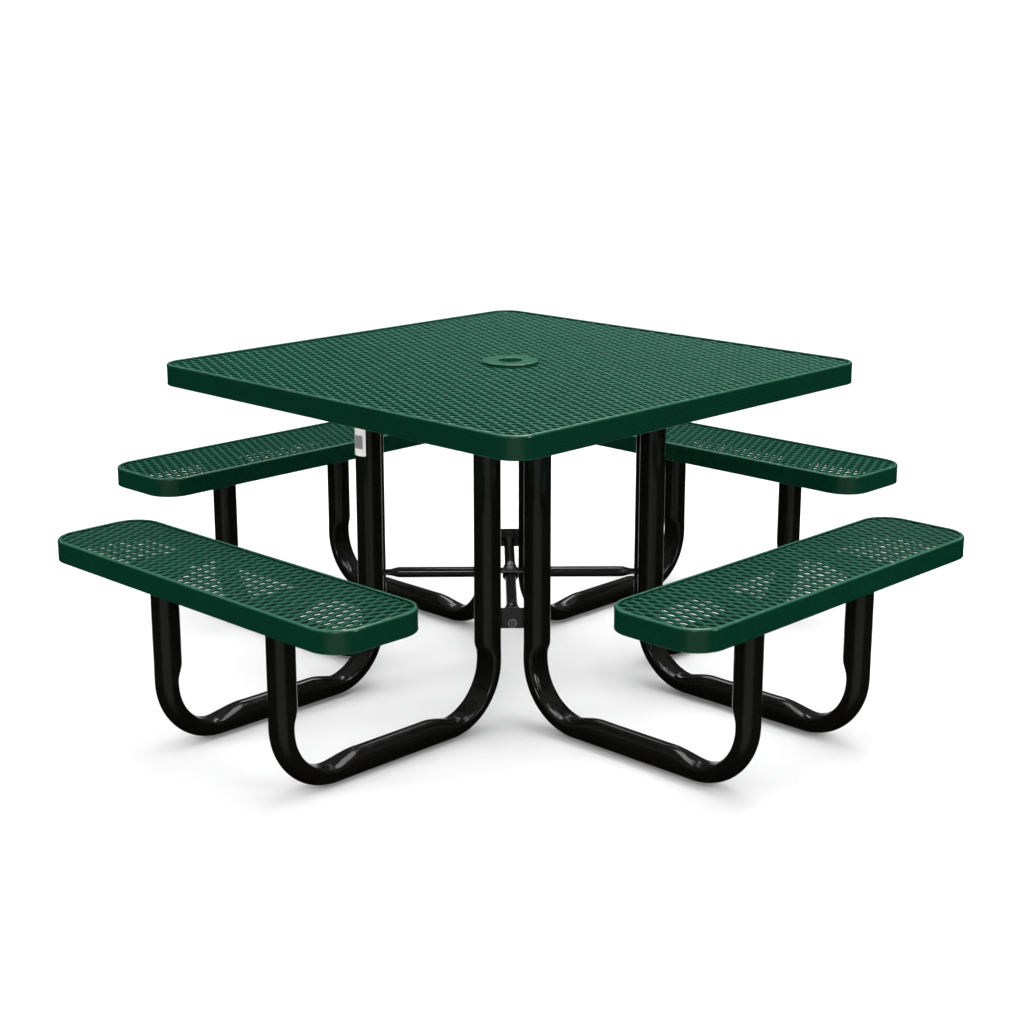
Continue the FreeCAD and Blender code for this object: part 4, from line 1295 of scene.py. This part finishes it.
roomSpec = {
    "floorHalf": 30.0,
    "floorTone": 0.92,
    "background": 1.6,  # only the camera sees this
    "diffuseSky": (0.75, 1.05, 1.20),  # from below, at the horizon, overhead
    "glossySky": (0.0, 0.01, 0.24),
    # two soft patches that only the glossy coats mirror, placed for the main view
    "nearGlow": {"from": (0.68, -0.70, -0.22), "range": (0.70, 0.97), "strength": 0.34},
    "farFloor": {"from": (-0.64, 0.66, -0.39), "range": (0.90, 0.985), "strength": 0.90},
}


def makeFloor(spec):
    work = bmesh.new()
    bmesh.ops.create_grid(work, x_segments=2, y_segments=2, size=spec["floorHalf"])
    mesh = bpy.data.meshes.new("studioFloor")
    work.to_mesh(mesh)
    work.free()
    floor = addObject("studioFloor", mesh)
    floor.location = (0, 0, -0.0005)
    paint = bpy.data.materials.new("floorWhite")
    paint.use_nodes = True
    setInputs(paint.node_tree.nodes["Principled BSDF"], {
        "Base Color": (spec["floorTone"],) * 3 + (1.0,),
        "Roughness": 0.9,
        "Specular IOR Level": 0.0,
    })
    mesh.materials.append(paint)
    floor.visible_glossy = False


def skyRamp(tree, tones, place):
    # a sky from below, past the horizon, to overhead
    ramp = addNode(tree, "ValToRGB", place)
    stops = ramp.color_ramp.elements
    stops[0].position = 0.0
    stops[1].position = 1.0
    stops.new(0.5)
    for stop, tone in zip(stops, tones):
        stop.color = (tone, tone, tone, 1.0)
    return ramp


def addGlow(tree, coords, below, spec, place):
    # a soft patch of brightness in one direction, added to what is below it
    x, y = place
    towards = addNode(tree, "VectorMath", (x - 450, y), operation="DOT_PRODUCT")
    towards.inputs[1].default_value = spec["from"]
    rangeLow, rangeHigh = spec["range"]
    fade = addNode(tree, "MapRange", (x - 250, y), interpolation_type="SMOOTHSTEP")
    setInputs(fade, {"From Min": rangeLow, "From Max": rangeHigh, "To Max": spec["strength"]})
    glow = addNode(tree, "Background", place)
    total = addNode(tree, "AddShader", (x + 250, y))
    joinAll(tree, [
        (coords, "Generated", towards, 0),
        (towards, "Value", fade, "Value"),
        (fade, "Result", glow, "Strength"),
        (below, 0, total, 0),
        (glow, 0, total, 1),
    ])
    return total


def makeWorld(spec):
    # what the camera, the glossy coats and the diffuse light see are three different skies
    world = bpy.data.worlds.new("studio")
    bpy.context.scene.world = world
    world.use_nodes = True
    tree = world.node_tree
    tree.nodes.clear()
    out = addNode(tree, "OutputWorld", (900, 0))
    mixSeen = addNode(tree, "MixShader", (700, 0))
    mixGloss = addNode(tree, "MixShader", (450, 100))
    seen = addNode(tree, "Background", (450, -150), {"Strength": spec["background"]})
    diffuse = addNode(tree, "Background", (200, 200))
    gloss = addNode(tree, "Background", (200, 0))
    path = addNode(tree, "LightPath", (200, 500))
    coords = addNode(tree, "TexCoord", (-600, 100))
    split = addNode(tree, "SeparateXYZ", (-400, 100))
    shift = addNode(tree, "MapRange", (-250, 100), {"From Min": -1.0})
    diffuseRamp = skyRamp(tree, spec["diffuseSky"], (-50, 250))
    glossRamp = skyRamp(tree, spec["glossySky"], (-50, -50))
    withNear = addGlow(tree, coords, gloss, spec["nearGlow"], (50, -300))
    withFar = addGlow(tree, coords, withNear, spec["farFloor"], (50, -600))
    joinAll(tree, [
        (coords, "Generated", split, 0),
        (split, "Z", shift, "Value"),
        (shift, "Result", diffuseRamp, "Fac"),
        (shift, "Result", glossRamp, "Fac"),
        (diffuseRamp, "Color", diffuse, "Color"),
        (glossRamp, "Color", gloss, "Color"),
        (path, "Is Glossy Ray", mixGloss, "Fac"),
        (diffuse, 0, mixGloss, 1),
        (withFar, 0, mixGloss, 2),
        (path, "Is Camera Ray", mixSeen, "Fac"),
        (mixGloss, 0, mixSeen, 1),
        (seen, 0, mixSeen, 2),
        (mixSeen, 0, out, "Surface"),
    ])


lampSpecs = {
    "overheadSoftbox": {"place": (0.3, 0.6, 3.6), "aim": 0.4, "size": (2.6, 1.6), "power": 90},
    "leftSoftbox": {"place": (-1.6, -4.4, 1.9), "size": (0.7, 2.8), "power": 40, "glossy": False},
    "rightSoftbox": {"place": (4.6, 0.6, 1.9), "size": (1.0, 2.8), "power": 46},
    "backSoftbox": {"place": (-3.0, 3.4, 3.9), "size": (2.4, 1.0), "power": 26},
    "frontSoftbox": {"place": (3.3, -3.9, 2.7), "size": (1.1, 1.4), "power": 30},
}


def makeLamps(specs):
    for name, spec in specs.items():
        data = bpy.data.lights.new(name, "AREA")
        data.shape = "RECTANGLE"
        data.size, data.size_y = spec["size"]
        data.energy = spec["power"]
        lamp = addObject(name, data)
        aimAt(lamp, spec["place"], (0, 0, spec.get("aim", 0.5)))
        lamp.visible_glossy = spec.get("glossy", True)


makeFloor(roomSpec)
makeWorld(roomSpec)
makeLamps(lampSpecs)
bpy.context.scene.view_settings.view_transform = "Standard"
bpy.context.scene.view_settings.look = "None"
print("floor, world and lights made")
